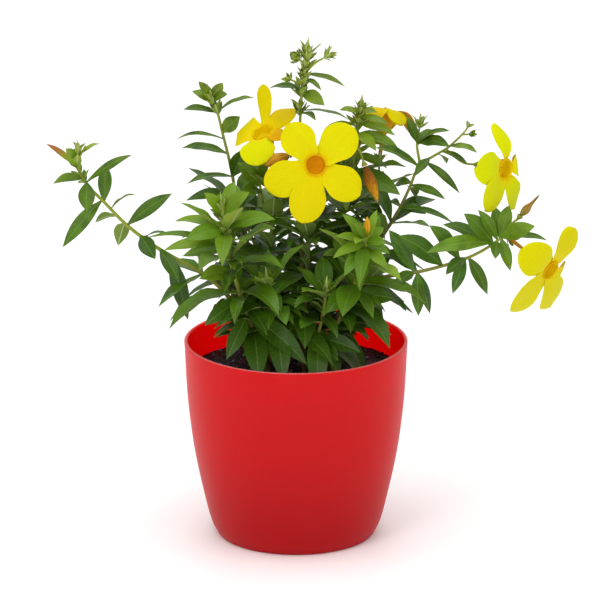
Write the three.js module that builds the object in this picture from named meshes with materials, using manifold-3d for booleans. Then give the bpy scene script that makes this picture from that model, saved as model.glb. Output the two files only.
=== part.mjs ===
// A potted allamanda: a plain round pot of soil, fifteen leafy stems, five
// open flowers and four coloured buds. Millimetres, +Z up, the origin at the
// middle of the pot's foot. The front of the plant looks towards -Y.
import * as THREE from 'three';
import { mergeVertices } from 'three/addons/utils/BufferGeometryUtils.js';
import Module from 'manifold-3d';

const wasm = await Module();
wasm.setup();

// Driving dimensions of the pot
const POT_HEIGHT = 144;
const POT_WALL = 2.5;
const POT_FLOOR = 3;
const POT_SIDES = 28;
// Outer outline from the foot to the rim, as radius and height
const POT_OUTLINE = [
  [54, 0], [57, 1.5], [60.8, 9], [67.2, 34], [73.2, 64], [77.6, 100], [80, POT_HEIGHT],
];
const GROOVE = { inner: 20, outer: 46, depth: 1.2 };
const DRAIN = { count: 5, ring: 33, radius: 4, sides: 6 };

// Driving dimensions of the soil
const SOIL_TOP = 120;
// Heights at which the soil's side follows the pot's outline
const SOIL_ROWS = [9, 64];
const HOLE_SIDES = 6;
const HOLE_GAP = 0.5;
const SOIL_CROWN = 1;
const SOIL_SWELL = 1.6;
// The rings of points on its face, as shares of the pot's radius
const SOIL_RINGS = [0.7, 0.36];
const SEAT_GAP = 0.3;
const STEM_DEPTH = 24;
const STEM_RISE = 4;

// Driving dimensions of the growth
const STEM_SIDES = 4;
const STEM_STEP = 18;
const SHOOT_STEP = 7;
const BLADE_THICKNESS = 0.8;
const BLADE_FOLD = 0.32;
const FOLDED = [-1, 0, 1];
const FLAT = [-1, 1];
const FOLDED_FROM_WIDTH = 13;
// Leaves this narrow or this short have the plainer outline
const NARROW_TO_WIDTH = 8;
const SHORT_TO_LENGTH = 37;
const CLEARANCE = 0.25;
const PETIOLE_SHARE = 0.28;
const LAST_SEAT = 0.99;
// Leaves beyond this far to either side stay above this height, clear of the pot's inner wall
const SIDE_CLEAR = { beyond: 50, above: 157 };
const UP = new THREE.Vector3(0, 0, 1);
const FRONT = new THREE.Vector3(0, -1, 0);

// Half widths along a blade, each as a place along it and a share of half its width
const LEAF_OUTLINE = [[0.34, 0.88], [0.68, 0.84]];
const SMALL_OUTLINE = [[0.5, 1]];
const PETAL_OUTLINE = [[0.12, 0.46], [0.46, 0.96], [0.82, 0.84]];

// Driving dimensions of a flower: its funnel along its own axis, mouth at 0, on a narrow tube
const TUBE_RADIUS = 1.5;
const FUNNEL = [[1.8, -19], [5, -11], [7.6, 0]];
// The hollow ends here, and the rest of the tube is solid
const FUNNEL_BLIND = -16;
const FUNNEL_WALL = 1;
const FUNNEL_SIDES = 8;
const PETAL_THICKNESS = 0.9;
const PETAL_SINK = 1;
const PETAL_ARCH = 3;
const CALYX = { radius: 2.3, length: 3.5, sides: 8, sink: 1.2 };
const SEPAL = { length: 7, width: 3, lean: 0.62, bow: 0.8, sink: 1 };
// How far a stalk runs straight behind its cup, at most and as a share
const KNEE = { most: 9, share: 0.4 };

const GREEN = { color: 0x3c6414, roughness: 0.45, metalness: 0 };
const YOUNG = { color: 0x6f9420, roughness: 0.5, metalness: 0 };
const YELLOW = { color: 0xf2e010, roughness: 0.5, metalness: 0 };
const AMBER = { color: 0xd98a1c, roughness: 0.5, metalness: 0 };
const BRONZE = { color: 0x9a5a2a, roughness: 0.55, metalness: 0 };
const RED = { color: 0xd81e26, roughness: 0.4, metalness: 0 };
const EARTH = { color: 0x17151a, roughness: 0.95, metalness: 0 };

// Stems. foot is where one leaves the soil, path its points from there on, and
// thick its radius at the soil and at its end. A leaf is its place along the
// path, its tip, its width and how far its upper face turns from the sky to the
// front in degrees. whorls are the first and last place, the distance between
// whorls, the leaves in one and their length.
const STEMS = [
  {
    name: 'stem_left_arch', look: GREEN, foot: [-26, 0], thick: [1.9, 1],
    path: [[-32, 1, 150], [-52, 2, 180], [-70, 2, 195], [-82, 1, 202], [-101, 0, 214],
      [-120, -3, 230], [-136, -6, 248], [-149, -8, 263], [-154, -10, 276], [-154, -10, 288]],
    whorls: [0, 1.8, 19, 3, 57],
    leaves: [[7.8, -176, -16, 294, 4.5, 60], [7.2, -173, 2, 260, 8, 40], [8.3, -163, -4, 287, 6, 70],
      [8.6, -139, -4, 291, 5, 10], [7, -116, -20, 287, 6, 60], [6, -135, 8, 272, 10, 80],
      [7, -148, -16, 244, 12, 85], [6.1, -166, -12, 216, 10, 70], [5.4, -143, 6, 230, 8, -50],
      [5.1, -127, 12, 211, 11, -70], [5.7, -114, -22, 259, 6, 10], [5, -88, -12, 256, 10, 70],
      [4.4, -91, -20, 229, 6, 10], [4.5, -100, -16, 209, 12, 80], [3.8, -83, -14, 191, 10, 60],
      [3.4, -77, -6, 160, 12, 80]],
    tuft: [9, 8, 3],
  },
  {
    name: 'stem_left_rear', look: GREEN, foot: [-18, 18], thick: [1.9, 0.9],
    path: [[-24, 20, 150], [-33, 25, 185], [-39, 28, 220], [-43, 30, 243], [-47, 32, 265],
      [-53, 32, 291], [-56, 31, 304], [-60, 30, 313]],
    whorls: [0, 2.8, 19, 3, 56],
    leaves: [[6, -80, 26, 308, 7, 30], [4.7, -85, 22, 288, 6, 10], [4.3, -82, 40, 276, 8, 30],
      [3.6, -78, 20, 255, 7, 20], [3, -79, 28, 240, 9, 40], [4.9, -40, 26, 302, 11, 70],
      [3.6, -37, 22, 279, 12, 80], [6, -30, 22, 318, 7, 15], [7, -69, 26, 328, 7, 50],
      [7, -74, 34, 319, 7, 40], [7, -52, 34, 325, 8, 50], [7, -49, 22, 320, 8, 40]],
    tuft: [7, 13, 4],
  },
  {
    name: 'stem_left_near', look: YOUNG, foot: [-20, -16], thick: [1.9, 1.1],
    path: [[-30, -24, 158], [-40, -34, 190], [-47, -40, 218], [-50, -42, 238], [-52, -42, 254]],
    whorls: [0, 2.9, 20, 3, 57],
    leaves: [[3, -77, -58, 236, 13, 50], [3.1, -86, -30, 242, 9, 30], [2.4, -93, -52, 227, 10, 40],
      [2.3, -105, -34, 232, 7, 20], [2.3, -73, -50, 229, 9, 30],
      [2.2, -81, -24, 214, 10, 50], [1.5, -67, -66, 210, 13, 55], [0.8, -64, -58, 173, 13, 70],
      [0.4, -49, -50, 145, 12, 80], [0.45, 8, -58, 144, 16, 60], [3.1, -15, -60, 252, 13, 40],
      [3.7, -64, -48, 267, 9, 50], [3.7, -33, -50, 268, 11, 50], [3.8, -43, -28, 270, 9, 50]],
    tuft: [4, 12, 4],
  },
  {
    name: 'stem_tall', look: GREEN, foot: [3, 8], thick: [2, 0.8],
    path: [[3, 6, 160], [4, 8, 205], [4, 8, 246], [3, 6, 285], [3, 6, 305], [4, 5, 322],
      [6, 4, 339], [8, 4, 352]],
    whorls: [0, 1.7, 19, 4, 57],
    leaves: [[6, 35, -8, 334, 5, 30], [5.2, 20, -12, 321, 10, 60], [5.3, -19, 14, 327, 7, 20],
      [4.4, 39, -2, 308, 5, 5], [5.8, 18, -8, 331, 5, 20], [4.3, 14, -14, 311, 6, 20],
      [2.3, -14, 26, 262, 9, 30], [2.4, 24, 22, 264, 9, 20]],
    shoots: [
      { path: [[6, 4, 340], [14, 3, 348], [21, 3, 352]], thick: [0.9, 0.7], tuft: [2, 10, 4] },
      { path: [[7, 4, 345], [3, 2, 350], [0, -1, 353]], thick: [0.8, 0.7], knob: 4 },
      { path: [[5, 4, 332], [-1, 0, 335], [-5, -3, 338]], thick: [0.8, 0.6], knob: 2.6 },
    ],
    tuft: [7, 14, 4],
  },
  {
    name: 'stem_front', look: GREEN, foot: [6, -11], thick: [1.9, 1.2],
    path: [[6, -11, 155], [8, -10, 195], [9, -8, 232], [10, -5, 252]],
    whorls: [0.3, 2.4, 18, 4, 56],
    leaves: [],
  },
  {
    name: 'stem_middle', look: GREEN, foot: [-9, 4], thick: [1.9, 1.1],
    path: [[-12, 6, 160], [-16, 9, 200], [-17, 12, 232], [-10, 17, 258]],
    whorls: [0.3, 2.5, 20, 4, 56],
    leaves: [],
    shoots: [
      { path: [[-16, 11, 222], [-24, 8, 246], [-26, 6, 262]], thick: [1.1, 0.9],
        leaves: [[1.6, -41, -2, 276, 11, 60], [1.8, -19, -22, 286, 8, 60], [1.4, -38, -14, 256, 11, 50]],
        tuft: [2, 11, 4] },
    ],
  },
  {
    name: 'stem_right_near', look: YOUNG, foot: [17, -18], thick: [1.9, 1.1],
    path: [[24, -22, 150], [36, -30, 180], [43, -38, 202], [48, -45, 222], [50, -47, 232]],
    whorls: [0, 2.6, 20, 3, 56],
    leaves: [[3.6, 26, -62, 224, 8, 40], [3.2, 34, -74, 215, 10, 50], [3.8, 63, -58, 233, 8, 45],
      [3.9, 33, -50, 252, 7, 50], [2.9, 46, -70, 208, 10, 60], [3.5, 62, -34, 238, 8, 40],
      [3.8, 57, -38, 252, 6, 50], [3.3, 64, -66, 217, 9, 50], [3.9, 41, -58, 248, 6, 50],
      [3.7, 28, -56, 238, 7, 40], [3.6, 66, -52, 224, 8, 40],
      [1.5, 22, -62, 184, 15, 60], [1.2, 70, -40, 187, 15, 50]],
  },
  {
    name: 'stem_right_rear', look: GREEN, foot: [15, 14], thick: [1.9, 0.9],
    path: [[19, 15, 155], [26, 19, 190], [33, 22, 225], [40, 24, 263], [43, 22, 293], [46, 20, 308]],
    whorls: [0, 2.9, 19, 3, 56],
    leaves: [[5, 31, 20, 309, 6, 30], [5, 58, 28, 305, 7, 30], [3.9, 73, 8, 284, 9, 40],
      [4.2, 20, 14, 297, 6, 20], [3, 74, 0, 252, 14, 60], [3.9, 57, 2, 284, 9, 40],
      [3.8, 22, 34, 282, 9, 30], [3.3, 66, 34, 262, 10, 30], [4.7, 66, 10, 301, 6, 40],
      [4.3, 71, 14, 292, 7, 40]],
    tuft: [5, 13, 4],
  },
  {
    name: 'stem_right_high', look: GREEN, foot: [25, 4], thick: [1.9, 0.8],
    path: [[28, 7, 150], [39, 12, 180], [57, 16, 208], [74, 16, 237], [81, 14, 253], [88, 12, 270],
      [100, 9, 279], [108, 6, 285], [118, 4, 295]],
    whorls: [0, 2.6, 20, 3, 56],
    leaves: [[7, 128, -12, 287, 7, 25], [5.3, 117, 6, 251, 6, 50], [4.1, 106, -4, 250, 6.5, 50],
      [3, 112, -8, 234, 5.5, 30], [3, 93, 10, 235, 8, 40], [4.2, 70, 24, 252, 8, 40],
      [4.9, 57, 8, 289, 9, 30], [6, 108, 26, 268, 8, 20], [4, 86, 36, 240, 9, 20],
      [6.4, 122, -6, 276, 5, 30], [5.6, 84, -8, 268, 7, 50]],
    shoots: [
      { path: [[88, 12, 269], [86, 14, 286], [88, 14, 298]], thick: [1.1, 0.8],
        leaves: [[1, 108, -8, 302, 7, 30], [1, 108, -14, 292, 10, 50], [1, 79, 10, 306, 7, 60],
          [0.9, 100, 34, 290, 9, 20]],
        tuft: [2, 11, 4] },
      { path: [[116, 4, 293], [121, 4, 299], [122, 4, 302]], thick: [0.7, 0.6], knob: 2.4 },
      { path: [[118, 4, 295], [122, 1, 296], [124, -2, 297]], thick: [0.7, 0.6], knob: 2 },
    ],
  },
  {
    name: 'stem_right_low', look: GREEN, foot: [21, -7], thick: [1.9, 1],
    path: [[26, -10, 155], [40, -14, 184], [58, -18, 195], [84, -20, 200], [104, -20, 205],
      [124, -20, 212], [138, -20, 220], [146, -19, 226]],
    whorls: [0, 1.6, 17, 4, 56],
    leaves: [[6.6, 129, -30, 249, 8, 60], [6.9, 151, -10, 247, 10, 60], [6.8, 141, -6, 245, 9, 50],
      [6.2, 119, -32, 247, 12, 60], [6, 104, -12, 234, 10, 40], [4.6, 95, -34, 239, 12, 50],
      [3, 66, -10, 229, 11, 60], [4, 73, -36, 232, 15, 60], [3.1, 65, -2, 212, 11, 50],
      [6.3, 92, -42, 222, 12, 50], [7, 168, -36, 239, 12, 70], [7, 178, -28, 227, 6, 30],
      [6.5, 141, -32, 214, 8, 60], [7, 152, -26, 203, 8, 70], [4.8, 106, -34, 203, 9, 50],
      [4.8, 111, -32, 188, 9, 75], [4.9, 137, -10, 180, 9, 60], [3, 70, -34, 196, 9, 50],
      [3.1, 87, -28, 170, 10, 80], [3.1, 96, -8, 165, 8, 60]],
    shoots: [
      { path: [[146, -19, 226], [151, -22, 235], [157, -22, 241]], thick: [0.9, 0.7] },
    ],
  },
  {
    name: 'stem_back_left', look: GREEN, foot: [-8, 26], thick: [1.8, 1],
    path: [[-12, 32, 155], [-24, 46, 186], [-34, 58, 208], [-40, 64, 222]],
    whorls: [0, 2.9, 19, 3, 54],
    leaves: [],
    tuft: [3, 14, 3],
  },
  {
    name: 'stem_back_middle', look: GREEN, foot: [4, 23], thick: [1.8, 1],
    path: [[5, 34, 150], [7, 52, 168], [8, 66, 182]],
    whorls: [0, 1.9, 19, 3, 52],
    leaves: [],
    tuft: [2, 14, 3],
  },
  {
    name: 'stem_back_right', look: GREEN, foot: [15, 27], thick: [1.8, 1],
    path: [[22, 36, 155], [35, 48, 188], [47, 58, 216], [52, 62, 234]],
    whorls: [0, 2.9, 19, 3, 54],
    leaves: [],
    tuft: [3, 14, 3],
  },
  {
    name: 'stem_front_left', look: GREEN, foot: [-6, -20], thick: [1.8, 1],
    path: [[-10, -25, 148], [-17, -34, 174], [-20, -39, 196]],
    whorls: [0.6, 1.9, 16, 4, 50],
    leaves: [[0.1, -14, -52, 140, 13, 70], [0.2, -38, -44, 146, 12, 60]],
    tuft: [2, 15, 4],
  },
  {
    name: 'stem_front_right', look: GREEN, foot: [10, -25], thick: [1.8, 1],
    path: [[13, -30, 146], [18, -38, 170], [21, -42, 190]],
    whorls: [0.6, 1.9, 19, 4, 50],
    leaves: [[0.1, 10, -58, 138, 13, 70], [0.2, 30, -56, 142, 13, 70], [0.4, 46, -50, 146, 12, 60]],
    tuft: [2, 15, 4],
  },
];

// Flowers: the middle of the mouth, the way it looks, the length of its tube, the stem that
// carries it and where its stalk leaves that. A petal is its angle, reach, back tilt and width.
const FLOWERS = [
  {
    name: 'flower_front', stem: 'stem_front', from: [10, -5, 250],
    mouth: [14, -40, 285], faces: [0.06, -0.95, 0.3], tube: 34,
    petals: [[124, 35, 3, 25], [44, 38, 3, 27], [-35, 38, 3, 25], [-104, 42, 3, 26], [-157, 39, 3, 26]],
  },
  {
    name: 'flower_left', stem: 'stem_middle', from: [-10, 17, 257],
    mouth: [-24, 6, 296.5], faces: [-0.35, -0.35, 0.87], tube: 34,
    petals: [[118, 36, -30, 12], [66, 29, -5, 24], [2, 24, 0, 13], [298, 29, 15, 26], [197, 22, 6, 29]],
  },
  {
    name: 'flower_rear', stem: 'stem_right_rear', from: [39, 24, 256],
    mouth: [64, 50, 299], faces: [0.12, 0.35, 0.92], tube: 34,
    petals: [[74, 28, 30, 23], [144, 22, 26, 20], [216, 29, 26, 22], [288, 30, 24, 22], [2, 30, 24, 22]],
  },
  {
    name: 'flower_high', stem: 'stem_right_high', from: [106, 7, 284],
    mouth: [149, -5, 272], faces: [0.78, -0.62, 0.05], tube: 25,
    petals: [[86, 34, 20, 13], [166, 34, 3, 24], [222, 36, 0, 24], [291, 34, 4, 19], [-2, 25, 24, 16]],
  },
  {
    name: 'flower_low', stem: 'stem_right_low', from: [145, -19, 225],
    mouth: [181, -18, 201], faces: [0.68, -0.62, -0.38], tube: 42,
    petals: [[69, 35, 5, 24], [146, 40, 12, 27], [220, 42, 0, 30], [297, 43, 2, 26], [336, 30, 16, 17]],
  },
];

// Coloured buds: the stem that carries one, where its stalk leaves that, the
// bud's own foot and tip, its radius and its form
const BUDS = [
  { name: 'bud_amber_left', look: AMBER, stem: 'stem_front', from: [9, -9, 236],
    foot: [-5, -24, 287.5], tip: [-22, -27, 281], radius: 4.8, form: 'closed' },
  { name: 'bud_amber_right', look: AMBER, stem: 'stem_right_near', from: [50, -47, 230],
    foot: [50, -47, 236], tip: [50, -49, 250], radius: 2.5, form: 'closed' },
  { name: 'bud_wilted', look: AMBER, stem: 'stem_right_rear', from: [40, 24, 262],
    foot: [49, -1, 273], tip: [58, -8, 249], radius: 4.2, form: 'closed' },
  { name: 'bud_bronze', look: BRONZE, stem: 'stem_right_low', from: [155, -22, 239],
    foot: [159, -22, 243], tip: [172, -22, 258], radius: 2.8, form: 'tailed' },
];
// The outline of a bud as shares of its radius and length
const BUD_FORMS = {
  closed: [[0.35, 0], [0.8, 0.2], [1, 0.45], [0.7, 0.72], [0.25, 0.94]],
  tailed: [[0.45, 0], [0.95, 0.16], [1, 0.32], [0.45, 0.58], [0.22, 0.92]],
};
const BUD_SIDES = 8;
const STALK_RADIUS = 0.9;

// Whorls turn by this much from one to the next, and their leaves by random shares
const WHORL_TURN = 47;
const AZIMUTH_JITTER = 26;
const RISE = { young: 52, old: 88, jitter: 12 };
const LEAF_WIDTH_SHARE = 0.34;
const SAG = { young: 0.06, old: 0.3, jitter: 0.1 };
const YOUNG_LENGTH = 0.78;
const LENGTH_JITTER = 0.12;
const ROLL_JITTER = 0.45;
const SEED = 20611;

// How far leaves arch: those with tips of their own, and those of whorls, whose
// faces also lean along their stem
const TIP_ARCH = { face: 0.09, up: 0.07 };
const WHORL_ARCH = { up: 0.35, reach: 0.96, lean: 0.5 };
// The young leaves at the end of a stem
const TUFT = {
  back: 0.04, turnJitter: 20, rise: 34, riseJitter: 14, lengthJitter: 0.2, sag: 0.02, roll: -0.5,
};

// What a leaf tries, in turn, when its place is taken: a turn round its stem,
// a change of its rise in degrees, and a share of its length
const TRIES = [
  [0, 0, 1], [18, 0, 1], [-18, 0, 1], [0, -16, 1], [0, 16, 0.95], [34, -8, 0.95], [-34, -8, 0.95],
  [20, 18, 0.9], [-20, 18, 0.9], [48, 4, 0.85], [-48, 4, 0.85], [10, -30, 0.85], [-12, 30, 0.8],
  [30, 24, 0.75], [-30, -24, 0.75], [60, 0, 0.7], [-60, 0, 0.7], [0, 0, 0.6],
];
// The same for a leaf with a tip of its own: how far the tip moves away from the
// front and up, and a share of its length
const TIP_TRIES = [
  [0, 0, 1], [7, 2, 1], [-7, -2, 1], [14, 4, 1], [-14, -4, 1], [21, 6, 1], [-21, -6, 1],
  [0, 6, 0.95], [0, -6, 0.95], [28, 8, 0.95], [-28, -8, 0.95], [12, 0, 0.8], [-12, 0, 0.8],
  [0, 0, 0.7],
];

const vector = ([x, y, z]) => new THREE.Vector3(x, y, z);
const radians = THREE.MathUtils.degToRad;

// A small repeatable source of random numbers between 0 and 1
let draw = SEED;
function random() {
  draw = (draw * 1664525 + 1013904223) % 4294967296;
  return draw / 4294967296;
}

const spread = (size) => (random() * 2 - 1) * size;

// A closed geometry as a solid
function solidOf(geometry) {
  const bare = geometry.clone();
  bare.deleteAttribute('normal');
  bare.deleteAttribute('uv');
  const merged = mergeVertices(bare, 1e-4);
  return new wasm.Manifold(new wasm.Mesh({
    numProp: 3,
    vertProperties: Float32Array.from(merged.attributes.position.array),
    triVerts: Uint32Array.from(merged.index.array),
  }));
}

// A solid as a mesh with its name and look
function meshOf(name, solid, look) {
  const { vertProperties, triVerts } = solid.getMesh();
  const geometry = new THREE.BufferGeometry();
  geometry.setAttribute('position', new THREE.BufferAttribute(vertProperties, 3));
  geometry.setIndex(new THREE.BufferAttribute(triVerts, 1));
  geometry.computeVertexNormals();
  const mesh = new THREE.Mesh(geometry, new THREE.MeshStandardMaterial(look));
  mesh.name = name;
  return mesh;
}

// A lathe about +Z from radius and height pairs
function turned(outline, sides) {
  const points = outline.map(([radius, height]) => new THREE.Vector2(radius, height));
  return new THREE.LatheGeometry(points, sides).rotateX(Math.PI / 2);
}

// The radius of the pot's outer face at a height
function potRadius(height) {
  const above = POT_OUTLINE.findIndex(([, z]) => z >= height);
  if (above <= 0) return POT_OUTLINE[0][0];
  const [r0, z0] = POT_OUTLINE[above - 1];
  const [r1, z1] = POT_OUTLINE[above];
  return r0 + (r1 - r0) * (height - z0) / (z1 - z0);
}

// The pot: an open shell with a shallow ring groove and drain holes in its floor
function potSolid() {
  const { inner, outer, depth } = GROOVE;
  const foot = [[0, 0], [inner - 1, 0], [inner, depth], [outer, depth], [outer + 1, 0]];
  const inside = POT_OUTLINE.filter(([, z]) => z > POT_FLOOR + 1)
    .map(([r, z]) => [r - POT_WALL, z]).reverse();
  const floor = [[potRadius(POT_FLOOR) - POT_WALL - 1, POT_FLOOR], [0, POT_FLOOR]];
  const outline = [...foot, ...POT_OUTLINE, ...inside, ...floor];
  let pot = solidOf(turned(outline, POT_SIDES));
  for (let i = 0; i < DRAIN.count; i += 1) {
    const angle = i * 2 * Math.PI / DRAIN.count;
    const drill = new THREE.CylinderGeometry(DRAIN.radius, DRAIN.radius, POT_FLOOR * 3, DRAIN.sides)
      .rotateX(Math.PI / 2)
      .translate(DRAIN.ring * Math.cos(angle), DRAIN.ring * Math.sin(angle), 0);
    pot = pot.subtract(solidOf(drill));
  }
  return pot;
}

// How far the soil's face stands above or below its mean level
function soilSwell(x, y) {
  const broad = Math.sin(x * 0.11 + 1) * Math.cos(y * 0.13);
  const fine = Math.sin((x - y) * 0.21);
  return SOIL_SWELL * (broad + fine / 2);
}

// The soil: it fills the pot, with an uneven face and a plain hole for each stem
function soilSolid() {
  const wall = SOIL_ROWS.map((height) => [potRadius(height) - POT_WALL - SEAT_GAP, height]);
  const low = POT_FLOOR + SEAT_GAP;
  const edge = potRadius(SOIL_TOP) - POT_WALL - SEAT_GAP;
  const side = [[0, low], [potRadius(POT_FLOOR) - POT_WALL - 1 - SEAT_GAP, low], ...wall, [edge, SOIL_TOP]];
  const face = SOIL_RINGS.map((share) => [edge * share, SOIL_TOP + SOIL_CROWN]);
  const geometry = turned([...side, ...face, [0, SOIL_TOP + SOIL_CROWN]], POT_SIDES);
  const position = geometry.attributes.position;
  for (let i = 0; i < position.count; i += 1) {
    if (position.getZ(i) > SOIL_TOP + SOIL_CROWN / 2) {
      position.setZ(i, position.getZ(i) + soilSwell(position.getX(i), position.getY(i)));
    }
  }
  let soil = solidOf(geometry);
  for (const { foot: [x, y], thick } of STEMS) {
    const radius = (thick[0] + HOLE_GAP) / Math.cos(Math.PI / HOLE_SIDES);
    const depth = STEM_DEPTH + SEAT_GAP;
    const hole = new THREE.CylinderGeometry(radius, radius, depth * 2, HOLE_SIDES)
      .rotateX(Math.PI / 2)
      .translate(x, y, SOIL_TOP);
    soil = soil.subtract(solidOf(hole));
  }
  return soil;
}

// The straight runs that a rod along a curve is made of
function runsOf(curve, step = STEM_STEP) {
  return curve.getSpacedPoints(Math.max(2, Math.round(curve.getLength() / step)));
}

// The point of the nearest run to a point, so that what grows there is rooted in wood
function seatOn(runs, point) {
  let seat = runs[0];
  for (let i = 0; i < runs.length - 1; i += 1) {
    const spot = new THREE.Line3(runs[i], runs[i + 1]).closestPointToPoint(point, true, new THREE.Vector3());
    if (spot.distanceToSquared(point) < seat.distanceToSquared(point)) seat = spot;
  }
  return seat.clone();
}

// A rod along a curve that narrows evenly from one end to the other
function rodSolid(curve, [startRadius, endRadius], step = STEM_STEP) {
  const centres = runsOf(curve, step);
  const steps = centres.length - 1;
  const corners = Array.from({ length: STEM_SIDES }, (_, i) => {
    const angle = i * 2 * Math.PI / STEM_SIDES;
    return new THREE.Vector2(startRadius * Math.cos(angle), startRadius * Math.sin(angle));
  });
  const geometry = new THREE.ExtrudeGeometry(new THREE.Shape(corners), {
    steps, extrudePath: curve, bevelEnabled: false,
  });
  const position = geometry.attributes.position;
  const point = new THREE.Vector3();
  for (let i = 0; i < position.count; i += 1) {
    point.fromBufferAttribute(position, i);
    const nearest = centres.reduce((best, centre, k) => (
      centre.distanceToSquared(point) < centres[best].distanceToSquared(point) ? k : best), 0);
    const share = 1 + (endRadius / startRadius - 1) * nearest / steps;
    point.sub(centres[nearest]).multiplyScalar(share).add(centres[nearest]);
    position.setXYZ(i, point.x, point.y, point.z);
  }
  return solidOf(geometry);
}

// A thin arched blade, flat or folded along its rib, split alike on both faces
function bladeSolid({ root, bend, tip, facing, width, columns = FLAT }, outline, thickness) {
  const line = new THREE.QuadraticBezierCurve3(root, bend, tip);
  const side = tip.clone().sub(root).cross(facing).normalize();
  const points = [root.clone()];
  for (const [place, share] of outline) {
    const centre = line.getPoint(place);
    const along = line.getTangent(place);
    const across = side.clone().addScaledVector(along, -side.dot(along)).normalize();
    const normal = across.clone().cross(along);
    for (const face of [0.5, -0.5]) {
      for (const column of columns) {
        const half = share * width / 2;
        const rise = columns === FLAT ? 0 : Math.abs(column) * half * BLADE_FOLD;
        points.push(centre.clone()
          .addScaledVector(across, column * half)
          .addScaledVector(normal, face * thickness + rise));
      }
    }
  }
  points.push(tip.clone());
  const last = points.length - 1;
  const under = columns.length;
  const ring = (i) => 1 + i * under * 2;
  const first = ring(0);
  const end = ring(outline.length - 1);
  const index = [0, first, first + under, first + under - 1, 0, first + 2 * under - 1];
  index.push(end, last, end + under, last, end + under - 1, end + 2 * under - 1);
  for (let k = 0; k < under - 1; k += 1) {
    index.push(0, first + k + 1, first + k, 0, first + under + k, first + under + k + 1);
    index.push(end + k, end + k + 1, last, end + under + k + 1, end + under + k, last);
  }
  for (let i = 0; i < outline.length - 1; i += 1) {
    const a = ring(i);
    const b = ring(i + 1);
    const quad = (p, q, r, t) => index.push(p, q, r, p, r, t);
    for (let k = 0; k < under - 1; k += 1) {
      quad(a + k, a + k + 1, b + k + 1, b + k);
      index.push(a + under + k, b + under + k + 1, a + under + k + 1);
      index.push(a + under + k, b + under + k, b + under + k + 1);
    }
    quad(a, b, b + under, a + under);
    quad(b + under - 1, a + under - 1, a + 2 * under - 1, b + 2 * under - 1);
  }
  return new wasm.Manifold(new wasm.Mesh({
    numProp: 3,
    vertProperties: Float32Array.from(points.flatMap((point) => point.toArray())),
    triVerts: Uint32Array.from(index),
  }));
}

// The way a leaf's upper face looks, from the sky towards the front
function facingOf(degrees) {
  return UP.clone().multiplyScalar(Math.cos(radians(degrees)))
    .addScaledVector(FRONT, Math.sin(radians(degrees)));
}

// A leaf that ends at a given tip, in one of its tries
function tipLeaf({ curve, runs }, place, [, x, y, z, width, face], [back, rise, size]) {
  const root = seatOn(runs, curve.getPoint(place));
  const tip = new THREE.Vector3(x, y + back, z + rise).sub(root).multiplyScalar(size).add(root);
  const facing = facingOf(face);
  const length = tip.distanceTo(root);
  const bend = root.clone().lerp(tip, 0.5).addScaledVector(facing, length * TIP_ARCH.face)
    .addScaledVector(UP, length * TIP_ARCH.up);
  const columns = width < FOLDED_FROM_WIDTH ? FLAT : FOLDED;
  return { root, bend, tip, facing, width: width * size, columns };
}

// A leaf of a whorl, in one of its tries
function whorlLeaf({ curve, runs }, { place, azimuth, rise, length, sag, roll }, [turn, lift, size]) {
  const root = seatOn(runs, curve.getPoint(place));
  const along = curve.getTangent(place);
  const flat = new THREE.Vector3(1, 0, 0).cross(along).normalize();
  const out = flat.applyAxisAngle(along, radians(azimuth + turn));
  const slope = radians(rise + lift);
  const way = along.clone().multiplyScalar(Math.cos(slope)).addScaledVector(out, Math.sin(slope));
  const reach = length * size;
  const bend = root.clone().addScaledVector(way, reach * 0.5)
    .addScaledVector(UP, reach * sag * WHORL_ARCH.up);
  const tip = root.clone().addScaledVector(way, reach * WHORL_ARCH.reach).addScaledVector(UP, -reach * sag);
  const facing = UP.clone().addScaledVector(along, WHORL_ARCH.lean).addScaledVector(out, roll).normalize();
  return { root, bend, tip, facing, width: reach * LEAF_WIDTH_SHARE };
}

// The same blade a little thicker and wider, to test that it is clear
function testBlade(leaf, outline) {
  return bladeSolid({ ...leaf, width: leaf.width + CLEARANCE * 2 }, outline, BLADE_THICKNESS + CLEARANCE * 2);
}

// The blade beyond its stalk, which alone has to clear the leaves of its own stem
function outerLeaf(leaf) {
  const line = new THREE.QuadraticBezierCurve3(leaf.root, leaf.bend, leaf.tip);
  const start = line.getPoint(PETIOLE_SHARE);
  const bend = line.getPoint((1 + PETIOLE_SHARE) / 2).multiplyScalar(2)
    .addScaledVector(start, -0.5).addScaledVector(leaf.tip, -0.5);
  return { ...leaf, root: start, bend };
}

const boxesMeet = (a, b) => [0, 1, 2].every((k) => a.min[k] <= b.max[k] && b.min[k] <= a.max[k]);

// All that stands in the way so far: a solid, its box and the node it belongs to
const taken = [];

function claim(owner, solid, outer = null) {
  taken.push({ owner, solid, box: solid.boundingBox(), outer });
}

function meets(a, b) {
  return a.intersect(b).volume() > 1e-4;
}

// Whether a leaf of this owner is clear of all that is in place
function isClear(owner, leaf, outline) {
  const whole = testBlade(leaf, outline);
  const box = whole.boundingBox();
  const near = taken.filter((other) => boxesMeet(box, other.box));
  const outer = near.some((other) => other.owner === owner && other.outer)
    ? testBlade(outerLeaf(leaf), outline) : null;
  return near.every((other) => {
    if (other.owner !== owner) return !meets(whole, other.solid);
    return !other.outer || !meets(outer, other.outer);
  });
}

const hangsLow = ({ tip }) => Math.abs(tip.x) > SIDE_CLEAR.beyond && tip.z < SIDE_CLEAR.above;

// Adds the first try of a leaf that is clear to its stem's list
function growLeaf(owner, tries, shape, outline, pieces) {
  for (const attempt of tries) {
    const leaf = shape(attempt);
    if (!hangsLow(leaf) && isClear(owner, leaf, outline)) {
      const solid = bladeSolid(leaf, outline, BLADE_THICKNESS);
      claim(owner, solid, bladeSolid(outerLeaf(leaf), outline, BLADE_THICKNESS));
      pieces.push(solid);
      return;
    }
  }
}

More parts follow.
